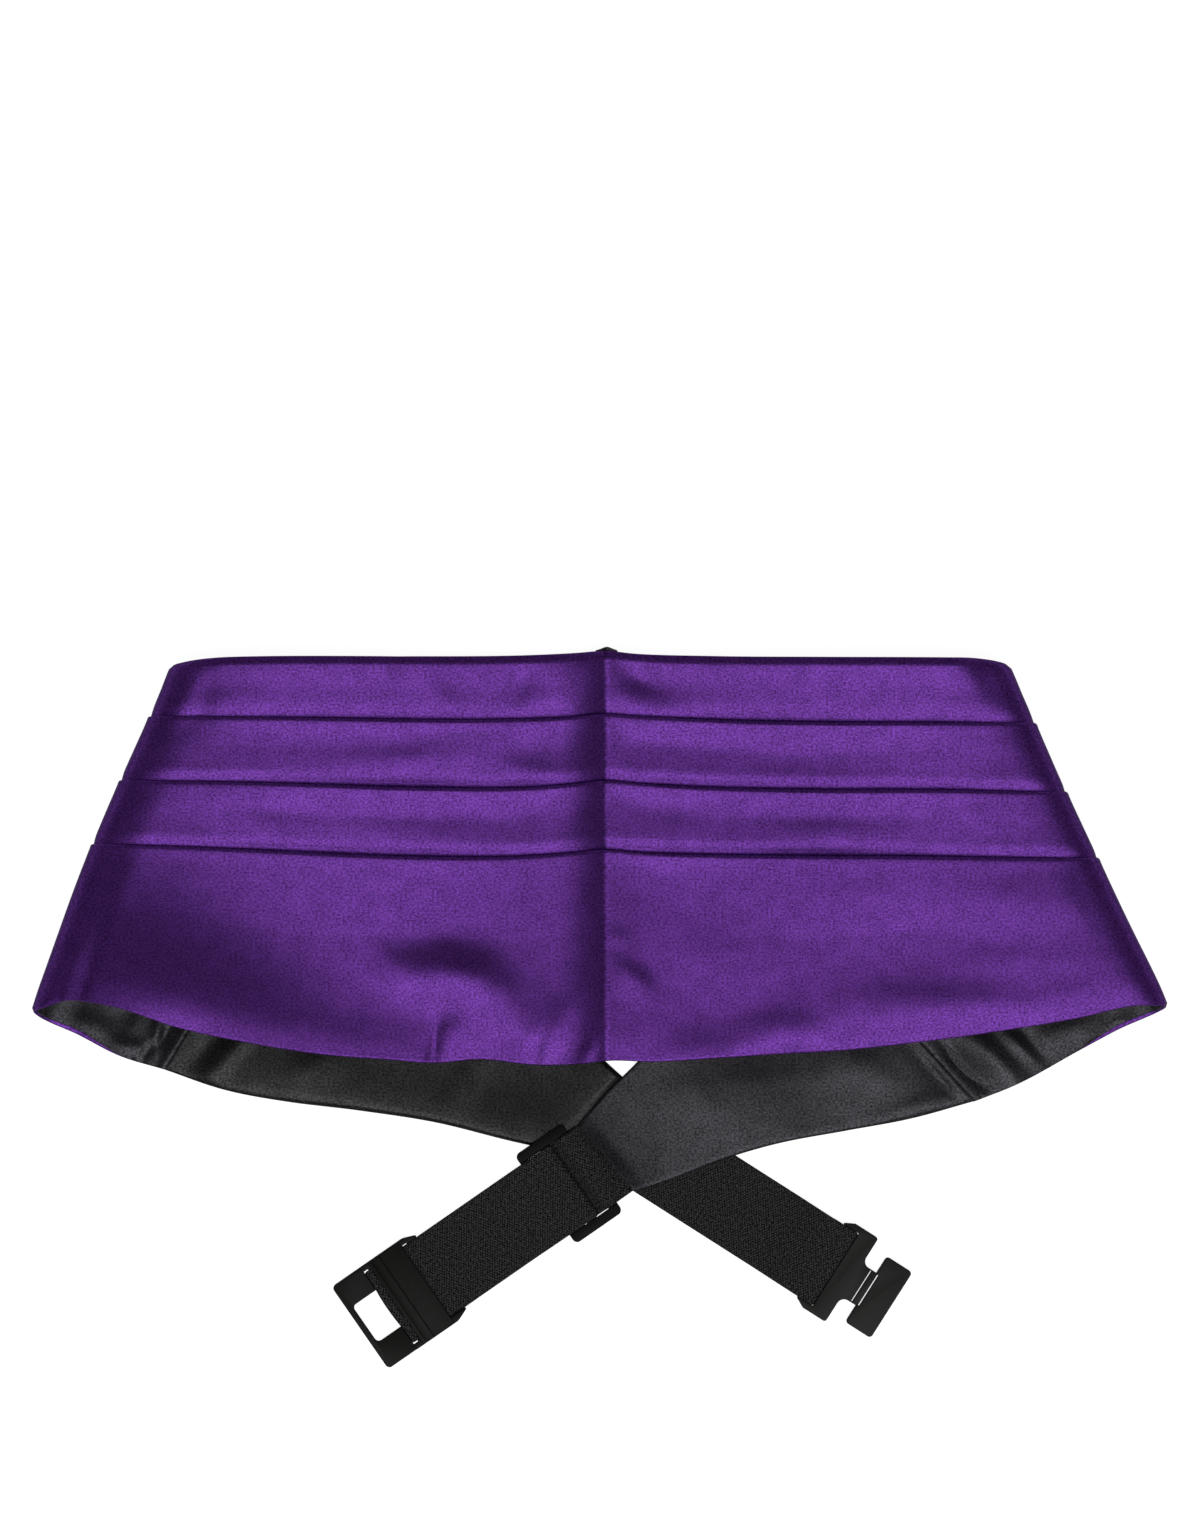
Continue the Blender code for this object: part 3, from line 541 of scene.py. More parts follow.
# %% From the creases to the lie of the cloth
def relief(x, y, creases):
    """The sum of soft ridges and troughs, in millimetres."""
    total = np.zeros(np.broadcast(x, y).shape)
    for crease_x, crease_y, half_length, upper, lower, degrees, bend, height in creases:
        turn = math.radians(degrees)
        along = ((x - crease_x) * math.cos(turn) + (y - crease_y) * math.sin(turn)) / half_length
        across = (y - crease_y) * math.cos(turn) - (x - crease_x) * math.sin(turn) - bend * along**2
        width = np.where(across > 0, upper, lower)
        total = total + height * np.exp(-(along**2) - (across / width) ** 2)
    return total


def front_height(x, y):
    """Height of the front: high at both rolls, sunk in the middle, with its packing fold."""
    left = np.maximum(-FOLDS["left"].past(x, y), 0)
    right = np.maximum(-FOLDS["right"].past(x, y), 0)
    sag = np.clip(fade(left, SAG_LEFT) + fade(right, SAG_RIGHT), 0, 1)
    height = MIDDLE_HEIGHT + (SIDE_HEIGHT - MIDDLE_HEIGHT) * sag
    aside = x - RIDGE_X
    left_width = RIDGE_LEFT + (RIDGE_LEFT_LOW - RIDGE_LEFT) * fade(np.maximum(y - LOW_FROM, 0), LOW_REACH)
    flank = np.clip(1 - np.where(aside < 0, -aside / left_width, aside / RIDGE_RIGHT), 0, 1)
    return height + RIDGE_HEIGHT * flank ** np.where(aside < 0, RIDGE_CURVE_LEFT, RIDGE_CURVE_RIGHT)


def lay(x, y):
    """Place on the table of a place on the flat cloth, on the shell's inner face."""
    left, right = FOLDS["left"], FOLDS["right"]
    on_left, on_right = left.lay(x, y), right.lay(x, y)
    is_left = x < RIDGE_X
    plan = [np.where(is_left, a, b) for a, b in zip(on_left, on_right)]
    past = np.where(is_left, left.past(x, y), right.past(x, y))
    height = np.where(past > 0, plan[2], front_height(x, y))
    creases = relief(x, y, FRONT_CREASES) * fade(np.maximum(past, 0), CREASE_REACH)
    return np.stack((plan[0], plan[1], height + creases), axis=-1)


NORMAL_STEP = 0.05  # the cloth is square to its slope over this distance


def cloth(x, y, out):
    """The point that stands out from the shell's inner face by a distance, positive on the outer side."""
    along = lay(x + NORMAL_STEP, y) - lay(x - NORMAL_STEP, y)
    across = lay(x, y + NORMAL_STEP) - lay(x, y - NORMAL_STEP)
    normal = np.cross(along, across)
    normal /= np.linalg.norm(normal, axis=-1, keepdims=True)
    return lay(x, y) + normal * np.asarray(out)[..., None]


print("creases of the front:", len(FRONT_CREASES))

# %% [markdown]
# ## Edges and pleats
# The top edge, the three pleats and the lower edge are curves across the cloth, each a few measured places
# with a smooth line through them. The cloth is then cut by many lines that fan from one roll to the packing
# fold and on to the other roll. On each of them the edge curves give the heights where the bands begin and
# end.

# %% Measured edges
PLEAT_LINES = (
    # x, top, pleat_1, pleat_2, pleat_3
    (-270.0, 123.8, 103.0, 80.0, 57.0),
    (-160.0, 123.8, 103.2, 80.2, 57.2),
    (-124.0, 124.9, 103.3, 80.0, 56.3),
    (-63.5, 124.5, 102.3, 78.4, 54.0),
    (-30.0, 124.8, 102.3, 78.2, 53.9),
    (-8.0, 125.7, 103.3, 79.6, 55.3),
    (2.4, 126.4, 104.1, 80.6, 56.3),
    (12.0, 125.5, 103.4, 79.9, 55.6),
    (39.5, 124.6, 102.2, 78.4, 54.7),
    (77.7, 124.3, 101.4, 77.5, 54.3),
    (122.0, 124.2, 101.3, 77.6, 54.0),
    (160.0, 123.7, 100.8, 76.8, 53.4),
    (290.0, 123.3, 101.5, 77.5, 54.0),
)
LOWER_EDGE = (
    # layer, x, y
    ("left_under", -154.2, -21.6),
    ("left_under", -168.8, -17.2),
    ("left_under", -183.0, -10.0),
    ("left_nose", -199.8, -1.0),
    ("front", -186.0, 2.8),
    ("front", -171.0, 1.0),
    ("front", -148.6, -6.2),
    ("front", -123.9, -11.7),
    ("front", -98.0, -16.0),
    ("front", -74.0, -18.0),
    ("front", -59.0, -19.2),
    ("front", -42.5, -17.9),
    ("front", -22.5, -19.9),
    ("front", -8.5, -19.6),
    ("front", 3.2, -18.3),
    ("front", 18.4, -18.7),
    ("front", 39.5, -17.5),
    ("front", 63.5, -15.9),
    ("front", 86.8, -14.5),
    ("front", 110.5, -11.9),
    ("front", 139.8, -7.9),
    ("front", 168.7, -3.2),
    ("front", 186.0, 0.6),
    ("right_nose", 200.3, 1.0),
    ("right_under", 180.9, -8.6),
    ("right_under", 168.7, -15.2),
    ("right_under", 145.4, -27.8),
    ("right_under", 133.2, -32.6),
)
SEAMS = {
    "left": ((-97.0, 73.4), (-154.2, -21.6)),
    "right": ((67.4, 39.4), (133.2, -32.6)),
}

lower_rows = []
for layer_name, edge_x, edge_y in LOWER_EDGE:
    side, _, layer = layer_name.partition("_")
    lower_rows.append(tuple(FOLDS[side].unfold(edge_x, edge_y, layer)) if layer else (edge_x, edge_y))
EDGE_X, EDGE_Y = np.array(sorted(lower_rows)).T
LINES = np.array(PLEAT_LINES).T


# %% Lines across the cloth
LINE_TOP = 100.0
LINE_ENDS = (LINE_TOP, 0.0)  # a line is kept as its x at these two heights
CROWDING = 1.2  # above 1 the lines stand closer towards the packing fold


def x_on(line, y):
    """The x of a line across the cloth, at a height."""
    return line[1] + (line[0] - line[1]) * y / LINE_TOP


def stations(under, rolled, front):
    """Each line, and how far it is round to the back, 0 to 1."""
    rows = []
    for side, fold in FOLDS.items():
        inner, outer = (fold.unfold(*place) for place in SEAMS[side])
        slope = (inner[0] - outer[0]) / (inner[1] - outer[1])
        seam = np.array([outer[0] + slope * (height - outer[1]) for height in LINE_ENDS])
        start, end = (fold.line(past, np.array(LINE_ENDS)) for past in (0, fold.length))
        one_side = [(seam + (end - seam) * i / under, 1.0) for i in range(under)]
        for i in range(rolled):
            past = np.interp(np.pi * (1 - i / rolled), fold.turns, fold.arc)
            one_side.append((fold.line(past, np.array(LINE_ENDS)), 1 - i / rolled))
        middle = np.array((RIDGE_X, RIDGE_X))
        for i in range(front):
            share = 1 - (1 - i / front) ** CROWDING
            one_side.append((start + (middle - start) * share, 0.0))
        rows.append(one_side)
    return rows[0] + [(middle, 0.0)] + rows[1][::-1]


def station_heights(line):
    """Heights of the top edge, the pleats and the lower edge on a line."""
    heights = []
    curves = [(LINES[0], LINES[column]) for column in range(1, 5)] + [(EDGE_X, EDGE_Y)]
    for places, values in curves:
        y = values[len(values) // 2]
        for _ in range(10):
            y = float(smooth_curve(places, values, np.array(x_on(line, y))))
        heights.append(y)
    return heights


# %% [markdown]
# ## Wrapping a grid into a closed piece of cloth
# Cloth has a thickness, so each piece is a closed skin. A flat bmesh grid is wrapped round a row of rings:
# one side of the grid runs along the piece, the other runs round its section, and the two ends are filled.
# Each point keeps its place on the flat cloth in a UV map, which the weave reads.


# %% Wrapped grid
def wrap(name, rings, flat, material, sharp=50):
    """A closed skin through rings of points, with a UV map of the flat cloth, both in millimetres."""
    along, around = len(rings) - 1, len(rings[0])
    bm = bmesh.new()
    bmesh.ops.create_grid(bm, x_segments=along, y_segments=around, size=0.5)
    on_cloth = bm.verts.layers.float_vector.new("on_cloth")
    for vert in bm.verts:
        ring = round((vert.co.x + 0.5) * along)
        place = round((vert.co.y + 0.5) * around) % around
        vert[on_cloth] = (*flat[ring][place], 0)
        vert.co = Vector(rings[ring][place]) * MM
    bmesh.ops.remove_doubles(bm, verts=bm.verts[:], dist=1e-7)
    bmesh.ops.holes_fill(bm, edges=[edge for edge in bm.edges if edge.is_boundary], sides=0)
    bmesh.ops.recalc_face_normals(bm, faces=bm.faces[:])
    uv = bm.loops.layers.uv.new("cloth")
    for face in bm.faces:
        for loop in face.loops:
            loop[uv].uv = loop.vert[on_cloth].xy * MM
    bm.verts.layers.float_vector.remove(on_cloth)
    return finish_mesh(name, bm, material, sharp)


def finish_mesh(name, bm, material, sharp=50):
    mesh = bpy.data.meshes.new(name)
    bm.to_mesh(mesh)
    bm.free()
    mesh.materials.append(material)
    mesh.shade_smooth()
    mesh.set_sharp_from_angle(angle=math.radians(sharp))
    made = bpy.data.objects.new(name, mesh)
    scene.collection.objects.link(made)
    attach(made, "root")
    print(name, len(mesh.polygons), "faces")
    return made


# %% [markdown]
# ## The shell
# Each pleat is a folded edge that opens upwards: the band below lies on the band above, which runs on
# underneath it. In section that is a rounded lip over a narrow slit. A band is fullest just under its own
# lip and sinks towards the next one, which gives the bright strip above each dark line. The top and lower
# edges are soft rolls.

# %% Section of the shell
SHELL_WALL = 1.0
LIP_WALL = 1.35
PLEAT_DEPTH = 6.0
BAND_OUT = {
    # share of the way down a band: in front
    "top_band": ((0.0, 2.3), (0.08, 2.3), (0.4, 1.95), (0.84, 1.55), (0.92, 1.25), (1.0, 0.8)),
    "band": ((0.0, 2.65), (0.12, 2.45), (0.4, 2.22), (0.7, 2.02), (0.86, 1.88), (0.93, 1.5), (1.0, 0.9)),
    "lower_band": (
        (0.0, 2.65),
        (0.06, 2.46),
        (0.15, 2.3),
        (0.3, 2.12),
        (0.5, 1.95),
        (0.78, 1.84),
        (0.87, 1.72),
        (0.94, 1.4),
        (1.0, 1.0),
    ),
}
UNDER_OUT = 2.3  # underneath the pleats are pressed flat, and the whole outer face lies at this distance
TOP_ROLL, TOP_ROLL_UNDER, LIP_UNDER, LOWER_ROLL = 0.6, 1.0, 0.5, 0.5  # radii
BAND_POINTS, LOWER_POINTS, INNER_POINTS = 15, 46, 20
PLEAT_FULLNESS = (
    # x, radius of the folded edge: flat at the rolls and the packing fold, fuller between
    (-240.0, 0.65),
    (-165.0, 0.71),
    (-110.0, 1.02),
    (-60.0, 1.21),
    (-15.0, 0.96),
    (2.4, 0.77),
    (30.0, 0.96),
    (85.0, 1.21),
    (130.0, 1.15),
    (165.0, 0.77),
    (240.0, 0.65),
)


def arc(centre, radius, start, end, count):
    """Places on an arc, between two turns in degrees."""
    turns = np.radians(np.linspace(start, end, count))
    return [(centre[0] + radius * math.cos(t), centre[1] + radius * math.sin(t)) for t in turns]


def band_rows(upper, lower, kind, under, count, lip=LIP_WALL / 2):
    """A band's outer face as (y, out) pairs, fuller near its lip where the lip is fuller."""
    table = np.array(BAND_OUT[kind])
    shares = np.linspace(0, 1, count)
    in_front = smooth_curve(table[:, 0], table[:, 1], shares)
    out = in_front + (2 * lip - LIP_WALL) * np.clip(1 - shares * 2.5, 0, 1)
    out = out + (UNDER_OUT - out) * under
    return list(zip(upper + (lower - upper) * shares, out))


def shell_section(heights, under, x):
    """The shell's closed section as (y, out) pairs: down its outer face, and up its inner face."""
    fullness = np.array(PLEAT_FULLNESS)
    lip = float(smooth_curve(fullness[:, 0], fullness[:, 1], np.array(x)))
    lip += (LIP_UNDER - lip) * under
    top, *pleats, bottom = heights
    roll = TOP_ROLL + (TOP_ROLL_UNDER - TOP_ROLL) * under
    rows = arc((top - roll, roll), roll, -60, 80, 7)
    rows += band_rows(top - roll - 1.2, pleats[0] + 0.25, "top_band", under, BAND_POINTS)
    for number, line in enumerate(pleats):
        rows += [
            (line - PLEAT_DEPTH, SHELL_WALL - 0.1),
            (line - PLEAT_DEPTH, SHELL_WALL + GAP),
            (line - PLEAT_DEPTH / 2, SHELL_WALL + GAP),
        ]
        rows += arc((line - lip, SHELL_WALL + GAP + lip), lip, -90, 80, 7)
        if number + 1 < len(pleats):
            below = pleats[number + 1] + 0.25
            rows += band_rows(line - 1.5, below, "band", under, BAND_POINTS, lip)
        else:
            rows += band_rows(line - 1.5, bottom + 1.0, "lower_band", under, LOWER_POINTS, lip)
    rows += arc((bottom + LOWER_ROLL, LOWER_ROLL), -LOWER_ROLL, -75, 80, 8)
    inner = np.linspace(bottom + 1.2, top - 1.2, INNER_POINTS)
    return rows + [(y, 0.0) for y in inner]


# %% Shell
CORNER_DROP, CORNER_SPAN = 2.0, 0.3  # the top edge is pulled down a little where it turns the corner


def laid_rings(section_at, lines):
    """A section stood on each line and laid with the cloth, and its places on the flat cloth."""
    rings, flat = [], []
    for line, under in lines:
        heights = station_heights(line)
        heights[0] -= CORNER_DROP * math.exp(-(((under - 0.5) / CORNER_SPAN) ** 2))
        section = np.array(section_at(heights, under, line.mean()))
        y = section[:, 0]
        x = x_on(line, y)
        rings.append(cloth(x, y, section[:, 1]))
        flat.append(np.stack((x, y), axis=-1))
    return rings, flat


cloth_lines = stations(under=40, rolled=36, front=110)
print("lines across the cloth:", len(cloth_lines))
shell_rings, shell_flat = laid_rings(shell_section, cloth_lines)
satin_shell = wrap("satin_shell", shell_rings, shell_flat, purple_satin)
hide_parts("shell")

# %% [markdown]
# ## The lining
# The lining is black satin, sewn just inside the shell's folded edges. It shows in the mouths of the two
# folded sides, where the seam to the tail pulls it into small wrinkles, and as a sliver over the top edge
# at the packing fold. Its section follows the shell's inner face, and the wrinkles are added where it lies
# underneath.

# %% Section and wrinkles of the lining
LINING_WALL = 0.8
LINING_WRINKLES = (
    # x, y, half_length, upper width, lower width, degrees, bend, height
    # left mouth
    (-150.4, -14, 12, 1.6, 1.3, 59, 0, 0.9),
    (-153.5, -9, 7, 1.8, 1.8, 62, 0, -0.9),
    (-156.5, -9.8, 7, 1.6, 1.6, 85, 0, 0.9),
    (-160, -15.2, 5, 1.6, 1.6, 45, 0, -0.8),
    (-167.5, -13.4, 7, 2.2, 3, -12, 0, 1.1),
    (-163.5, -1, 7, 5, 7.5, 5, 0, -0.8),
    (-181, -6, 10, 4, 4, -22, 0, 1),
    (-164, -5, 6, 3, 3, 70, 0, 0.5),
    # right mouth
    (127.5, -19.5, 15, 3, 2.4, -48, 1, -1.3),
    (139, -17, 14, 4.6, 4.6, -44, -1.5, 1.9),
    (147.5, -12.5, 9, 1.8, 2.6, -42, 0, 1),
    (152.5, -12, 7, 2.6, 2, -58, 0, -0.9),
    (165, -8, 14, 4, 5, 16, 0, 0.8),
    (181, -3, 10, 3.5, 3.5, 50, 0, -0.8),
)
# how far the lining's folded end laps over the seam, and sinks
SEAM_LIP = ((0.6, 0.12), (1.1, 0.7), (1.25, 1.4))
TAIL_TOP = 1.2
LINING_INSET, LINING_INSET_FRONT, LINING_INSET_TOP = 0.35, 1.5, 1.4
# the shell's turned edge shows beside the lining near both corners
CORNER_X, RIM, RIM_REACH = 200.0, 1.3, 30.0
FACE_POINTS, EDGE_OUT = 60, 0.25
# the sliver that stands over the top edge at the packing fold
LINING_PEEK, PEEK_WIDTH, PEEK_DEPTH = 1.1, 2.5, 6


def lining_section(heights, under, x):
    """The lining's closed section: its face towards the shell, an edge, and the face that shows inside."""
    edge_x = lay(np.array(x), np.array(heights[-1]))[0]
    to_corner = max(CORNER_X - abs(float(edge_x)), 0.0)
    inset = LINING_INSET + RIM * fade(to_corner, RIM_REACH) if under > 0.45 else LINING_INSET_FRONT
    top, bottom = heights[0] - LINING_INSET_TOP, heights[-1] + inset
    near = np.linspace(top, bottom, FACE_POINTS)
    rows = [(y, -GAP) for y in near]
    rows += [(bottom - EDGE_OUT, -GAP - LINING_WALL / 2)]
    rows += [(y, -GAP - LINING_WALL) for y in near[::-1]]
    return rows + [(top + EDGE_OUT, -GAP - LINING_WALL / 2)]


# %% Lining
lining_rings, lining_flat = laid_rings(lining_section, cloth_lines)
for (line, under), ring in zip(cloth_lines, lining_rings):
    if under > 0.5:
        shown = ring[FACE_POINTS + 1 : -1]
        lies = np.clip((under - 0.75) * 4, 0, 1)
        shown[:, 2] += lies * relief(shown[:, 0], shown[:, 1], LINING_WRINKLES)
    peek = LINING_PEEK * math.exp(-(((ring[0, 0] - RIDGE_X) / PEEK_WIDTH) ** 2)) * (under == 0)
    reach = np.clip((ring[:, 1] - ring[0, 1] + PEEK_DEPTH) / PEEK_DEPTH, 0, 1)
    ring[:, 1] += (peek + LINING_INSET_TOP * (peek > 0.05)) * reach**2
for end, inward in ((0, 1), (-1, -2)):
    last = lining_rings[end]
    step = last - lining_rings[inward]
    step /= np.linalg.norm(step[:, :2], axis=1, keepdims=True)
    for reach, drop in SEAM_LIP:
        lip = last + step * reach
        lip[:, 2] = np.maximum(TAIL_TOP + 0.08, last[:, 2] - drop)
        lining_rings.insert(0 if end == 0 else len(lining_rings), lip)
        lining_flat.insert(0 if end == 0 else len(lining_flat), lining_flat[end])
# The lining takes the lighter copy of the black satin, as painted light.
satin_lining = wrap("satin_lining", lining_rings, lining_flat, black_satin_painted_light)
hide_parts("lining")

# %% [markdown]
# ## The tails
# Each tail is a long tapered strip of black satin, sewn to the folded side at one end and to the elastic at
# the other. They lie flat and cross in the middle, the right one on top. A grid is wrapped round their
# measured sections, and their own few wrinkles are added to the upper face.

# %% Sections of the tails
TAIL_WALL = 1.2
TAIL_SECTIONS = {
    "left": (
        # inner_x, inner_y, outer_x, outer_y, underside_z
        (-97.0, 73.4, -154.2, -21.6, 0.0),
        (-77.0, 54.8, -133.0, -28.8, 0.0),
        (-57.0, 36.2, -111.0, -33.0, 0.0),
        (-37.0, 17.6, -85.0, -36.2, 0.0),
        (-17.0, -1.0, -58.0, -40.4, 0.0),
        (2.3, -19.0, -30.0, -47.3, 0.0),
        (12.7, -28.4, -2.8, -52.8, 0.0),
    ),
    "right": (
        (67.4, 39.4, 133.2, -32.6, 0.0),
        (53.0, 24.0, 110.0, -39.0, 0.0),
        (39.0, 9.0, 87.0, -43.3, 0.1),
        (26.0, -5.0, 64.0, -47.5, TAIL_WALL + GAP),
        (13.0, -19.0, 44.0, -53.2, TAIL_WALL + GAP),
        (2.5, -29.5, 27.0, -59.7, TAIL_WALL + GAP),
        (-7.6, -41.0, 12.2, -64.8, 2.3),
    ),
}
TAIL_WRINKLES = {
    "left": (
        # x, y, half_length, upper width, lower width, degrees, bend, height
        (-131.5, -17.5, 13, 5, 3, 49, 0, 0.85),
        (-141, -16, 14, 4, 5, 54, 0, -0.7),
        (-101, -20, 9, 5, 6, 15, 0, 0.5),
        (-85, -32, 62, 13, 7, -10, 0, 0.9),
        (-45, -22, 14, 6, 6, 60, 0, 0.4),
        (4, -24.5, 22, 12, 2, 47, 0, 1.1),
        (-24, -47, 27, 16, 8, -13, 0, 1.3),
    ),
    "right": (
        (117, -21, 14, 5, 4.5, -50, 0, -0.85),
        (122.6, -23.8, 14, 1.5, 1.5, -47.6, 0, 0.9),
        (112, -35.5, 12, 4, 3.5, 14, 0, 0.6),
        (126.5, -30.4, 4, 0.5, 0.5, -25, 0, 0.7),
        (124.5, -33, 3.5, 0.5, 0.5, -12, 0, 0.7),
        (72, -25, 45, 8, 17, 9, 0, 0.8),
        (95, -22, 14, 6, 6, -35, 0, 0.5),
        (35, -32, 22, 8, 8, -50, 0, 0.5),
        (1.6, -53.4, 18, 3.8, 3.8, -50, 0, 1.2),
    ),
}
TAIL_EDGES = (
    # share of the width: share of the wall
    ((0.0, 0.5), (0.002, 0.8), (0.006, 0.93), (0.013, 1.0)),
    ((0.97, 0.99), (0.985, 0.93), (0.993, 0.82), (0.998, 0.6), (1.0, 0.3)),
)
SEAM_GAP, STRAP_GAP = 0.25, 0.03


def tail_rings(side, count):
    """Rings along a tail, through its measured sections, and their places on the table as its flat cut."""
    table = np.array(TAIL_SECTIONS[side])
    places = np.arange(len(table), dtype=float)
    steps = np.linspace(0, len(table) - 1, count)
    columns = [smooth_curve(places, table[:, column], steps) for column in range(5)]
    columns[4] = np.maximum(columns[4], 0)
    across = np.linspace(0.03, 0.94, 46)
    upper = [*TAIL_EDGES[0], *((f, 1.0) for f in across), *TAIL_EDGES[1]]
    lower = [(f, 0.0) for f in np.linspace(0.99, 0.01, 12)]
    profile = np.array(upper + lower)
    shown = len(upper)
    rings, flat = [], []
    for inner_x, inner_y, outer_x, outer_y, under in zip(*columns):
        inner, outer = np.array((inner_x, inner_y)), np.array((outer_x, outer_y))
        plan = inner + (outer - inner) * profile[:, :1]
        z = under + TAIL_WALL * profile[:, 1]
        bumps = relief(plan[:, 0], plan[:, 1], TAIL_WRINKLES[side])
        edge = np.clip(np.minimum(profile[:, 0], 1 - profile[:, 0]) / 0.02, 0, 1)
        z[:shown] += (bumps * np.maximum(edge, 0.3))[:shown]
        rings.append(np.column_stack((plan, np.maximum(z, 0.0))))
        flat.append(plan)
    step = rings[1] - rings[0]
    rings[0] = rings[0] + step / np.linalg.norm(step[:, :2], axis=1, keepdims=True) * SEAM_GAP
    return rings, flat


# The right tail takes the lighter copy of the black satin, as painted light where it tilts up to the light.
for side, finish in (("left", black_satin), ("right", black_satin_painted_light)):
    wrap("satin_tail_" + side, *tail_rings(side, 120), finish)
    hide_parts("tail_" + side)

# %% [markdown]
# ## The elastic straps
# Both straps are one strip of elastic. The long one comes from the right tail, goes under the slider's
# middle bar, round the eye buckle's bar, and back on itself to end over that middle bar. The short one goes
# from the left tail to the hook, over its bar and back underneath. A strap's section is a thin rounded bar,
# and its rings follow a path of (along, up) places.

# %% Where the straps and buckles lie
ELASTIC_WALL = 1.2
ELASTIC_WIDTH = 30.1
BAR_Z = (ELASTIC_WALL + GAP, ELASTIC_WALL + GAP + 1.4)
SLIDER_UNDERSIDE, BAR_WALL = 3.0, 1.2
SLIDER_MIDDLE_END = 90.8
SLOT_START, BRIDGE_END = 12.3, 28.6
EYE_FAR_END, EYE_AXIS = (-84.8, -112.9), 34.7
HOOK_LINE, HOOK_AXIS = (83.5, -92.5), -32.5


def strap_frame(place, degrees):
    """The place and turn of a strap, so that its pieces are measured along it and across it."""
    turn = Matrix.Rotation(math.radians(degrees), 4, "Z")
    return Matrix.Translation(Vector((place[0], place[1], 0))) @ turn


EYE_FRAME = strap_frame(EYE_FAR_END, EYE_AXIS)
HOOK_FRAME = strap_frame(HOOK_LINE, HOOK_AXIS)


def ease(start, end, count):
    """Places between two others on a soft S, without its ends."""
    shares = np.linspace(0, 1, count + 2)[1:-1]
    risen = 0.5 - 0.5 * np.cos(np.pi * shares)
    return list(zip(start[0] + (end[0] - start[0]) * shares, start[1] + (end[1] - start[1]) * risen))


def slider_strap_path():
    """From the tail through the slider, round the eye buckle's bar, and back to the slider's middle bar."""
    half = ELASTIC_WALL / 2
    low, stacked = half, ELASTIC_WALL + GAP + half
    beneath = SLIDER_UNDERSIDE - GAP - half
    above = SLIDER_UNDERSIDE + BAR_WALL + GAP + half
    middle = sum(BAR_Z) / 2
    turn = middle - low
    centre = SLOT_START + 0.06 + half + turn
    nose = SLIDER_MIDDLE_END + GAP + half
    seam_up = TAIL_SECTIONS["right"][-1][4] + TAIL_WALL / 2
    points = [(105.5, seam_up), (102.6, seam_up + 0.7), (100.6, above - 0.5), (99.2, above), (97.6, above)]
    points += [(96.4, above - 0.35), (95.3, above - 1.3), (94.2, above - 2.3), (92.9, beneath + 0.15)]
    points += [(91.2, beneath), (86.0, beneath)] + ease((86.0, beneath), (72.0, low), 7)
    points += [(72.0, low), (52.0, low), (32.0, low)] + arc((centre, middle), turn, 270, 90, 13)
    over = middle + turn
    points += [(BRIDGE_END + 0.5, over)] + ease((BRIDGE_END + 0.5, over), (46.0, stacked), 7)
    points += [(46.0, stacked), (62.0, stacked)] + ease((62.0, stacked), (79.0, above), 7)
    points += [(79.0, above), (85.0, above)] + arc((nose - 1.3, above - 1.3), 1.3, 90, 0, 6)
    return points + [(nose, SLIDER_UNDERSIDE + 0.3)]


def hook_strap_path():
    """From the tail, over the hook's bar, and back underneath."""
    half = ELASTIC_WALL / 2
    middle = sum(BAR_Z) / 2
    turn = middle - half
    centre = -GAP - half - turn
    points = [(-95.0, half), (-80.0, half), (-60.0, half), (-40.0, half), (-28.0, half)]
    points += ease((-28.0, half), (-9.5, middle + turn), 8)
    return points + [(-9.5, middle + turn)] + arc((centre, middle), turn, 90, -90, 13) + [(-10.2, half)]


# %% Straps
LOOP_BULGE, LOOP_REACH = 0.7, 4.0  # how far the loop of elastic swells into the eye's window


def strap_rings(strap_at, path, start_line, bulge=0.0):
    """Rings of a thin rounded bar along a path; the first one lies along the tail's slanted end."""
    path = np.array(path)
    slope = np.gradient(path, axis=0)
    normal = np.column_stack((-slope[:, 1], slope[:, 0]))
    normal /= np.linalg.norm(normal, axis=1, keepdims=True)
    half, wall = ELASTIC_WIDTH / 2, ELASTIC_WALL / 2
    to_local = strap_at.inverted()
    ends = [to_local @ Vector((x, y, 0)) for x, y in start_line]
    slant = (ends[1].x - ends[0].x) / (ends[1].y - ends[0].y)
    inner = np.linspace(-half + 0.9, half - 0.9, 15)
    section = [(-half, 0.0), (-half + 0.15, 0.7), (-half + 0.45, 1.0)] + [(a, 1.0) for a in inner]
    section += [(half - 0.45, 1.0), (half - 0.15, 0.7), (half, 0.0), (half - 0.15, -0.7), (half - 0.45, -1.0)]
    section += [(a, -1.0) for a in inner[::-1]] + [(-half + 0.45, -1.0), (-half + 0.15, -0.7)]
    travelled = np.concatenate(([0], np.cumsum(np.linalg.norm(np.diff(path, axis=0), axis=1))))
    rings, flat = [], []
    for index, (place, out) in enumerate(zip(path, normal)):
        ring = []
        swell = bulge * max(0.0, 1 - abs(place[0] - SLOT_START) / LOOP_REACH)
        for across, side in section:
            along, up = place + out * side * wall
            along -= swell * max(0.0, 1 - (across / (half * 0.62)) ** 2)
            if index == 0:
                along = ends[0].x + slant * (across - ends[0].y)
            ring.append(strap_at @ Vector((along, across, up)))
        rings.append(ring)
        flat.append([(travelled[index], across) for across, _ in section])
    return rings, flat


def line_after(side, degrees, distance):
    """A tail's end line, moved on by a distance."""
    inner_x, inner_y, outer_x, outer_y, _ = TAIL_SECTIONS[side][-1]
    on_x, on_y = distance * math.cos(math.radians(degrees)), distance * math.sin(math.radians(degrees))
    return [(inner_x + on_x, inner_y + on_y), (outer_x + on_x, outer_y + on_y)]


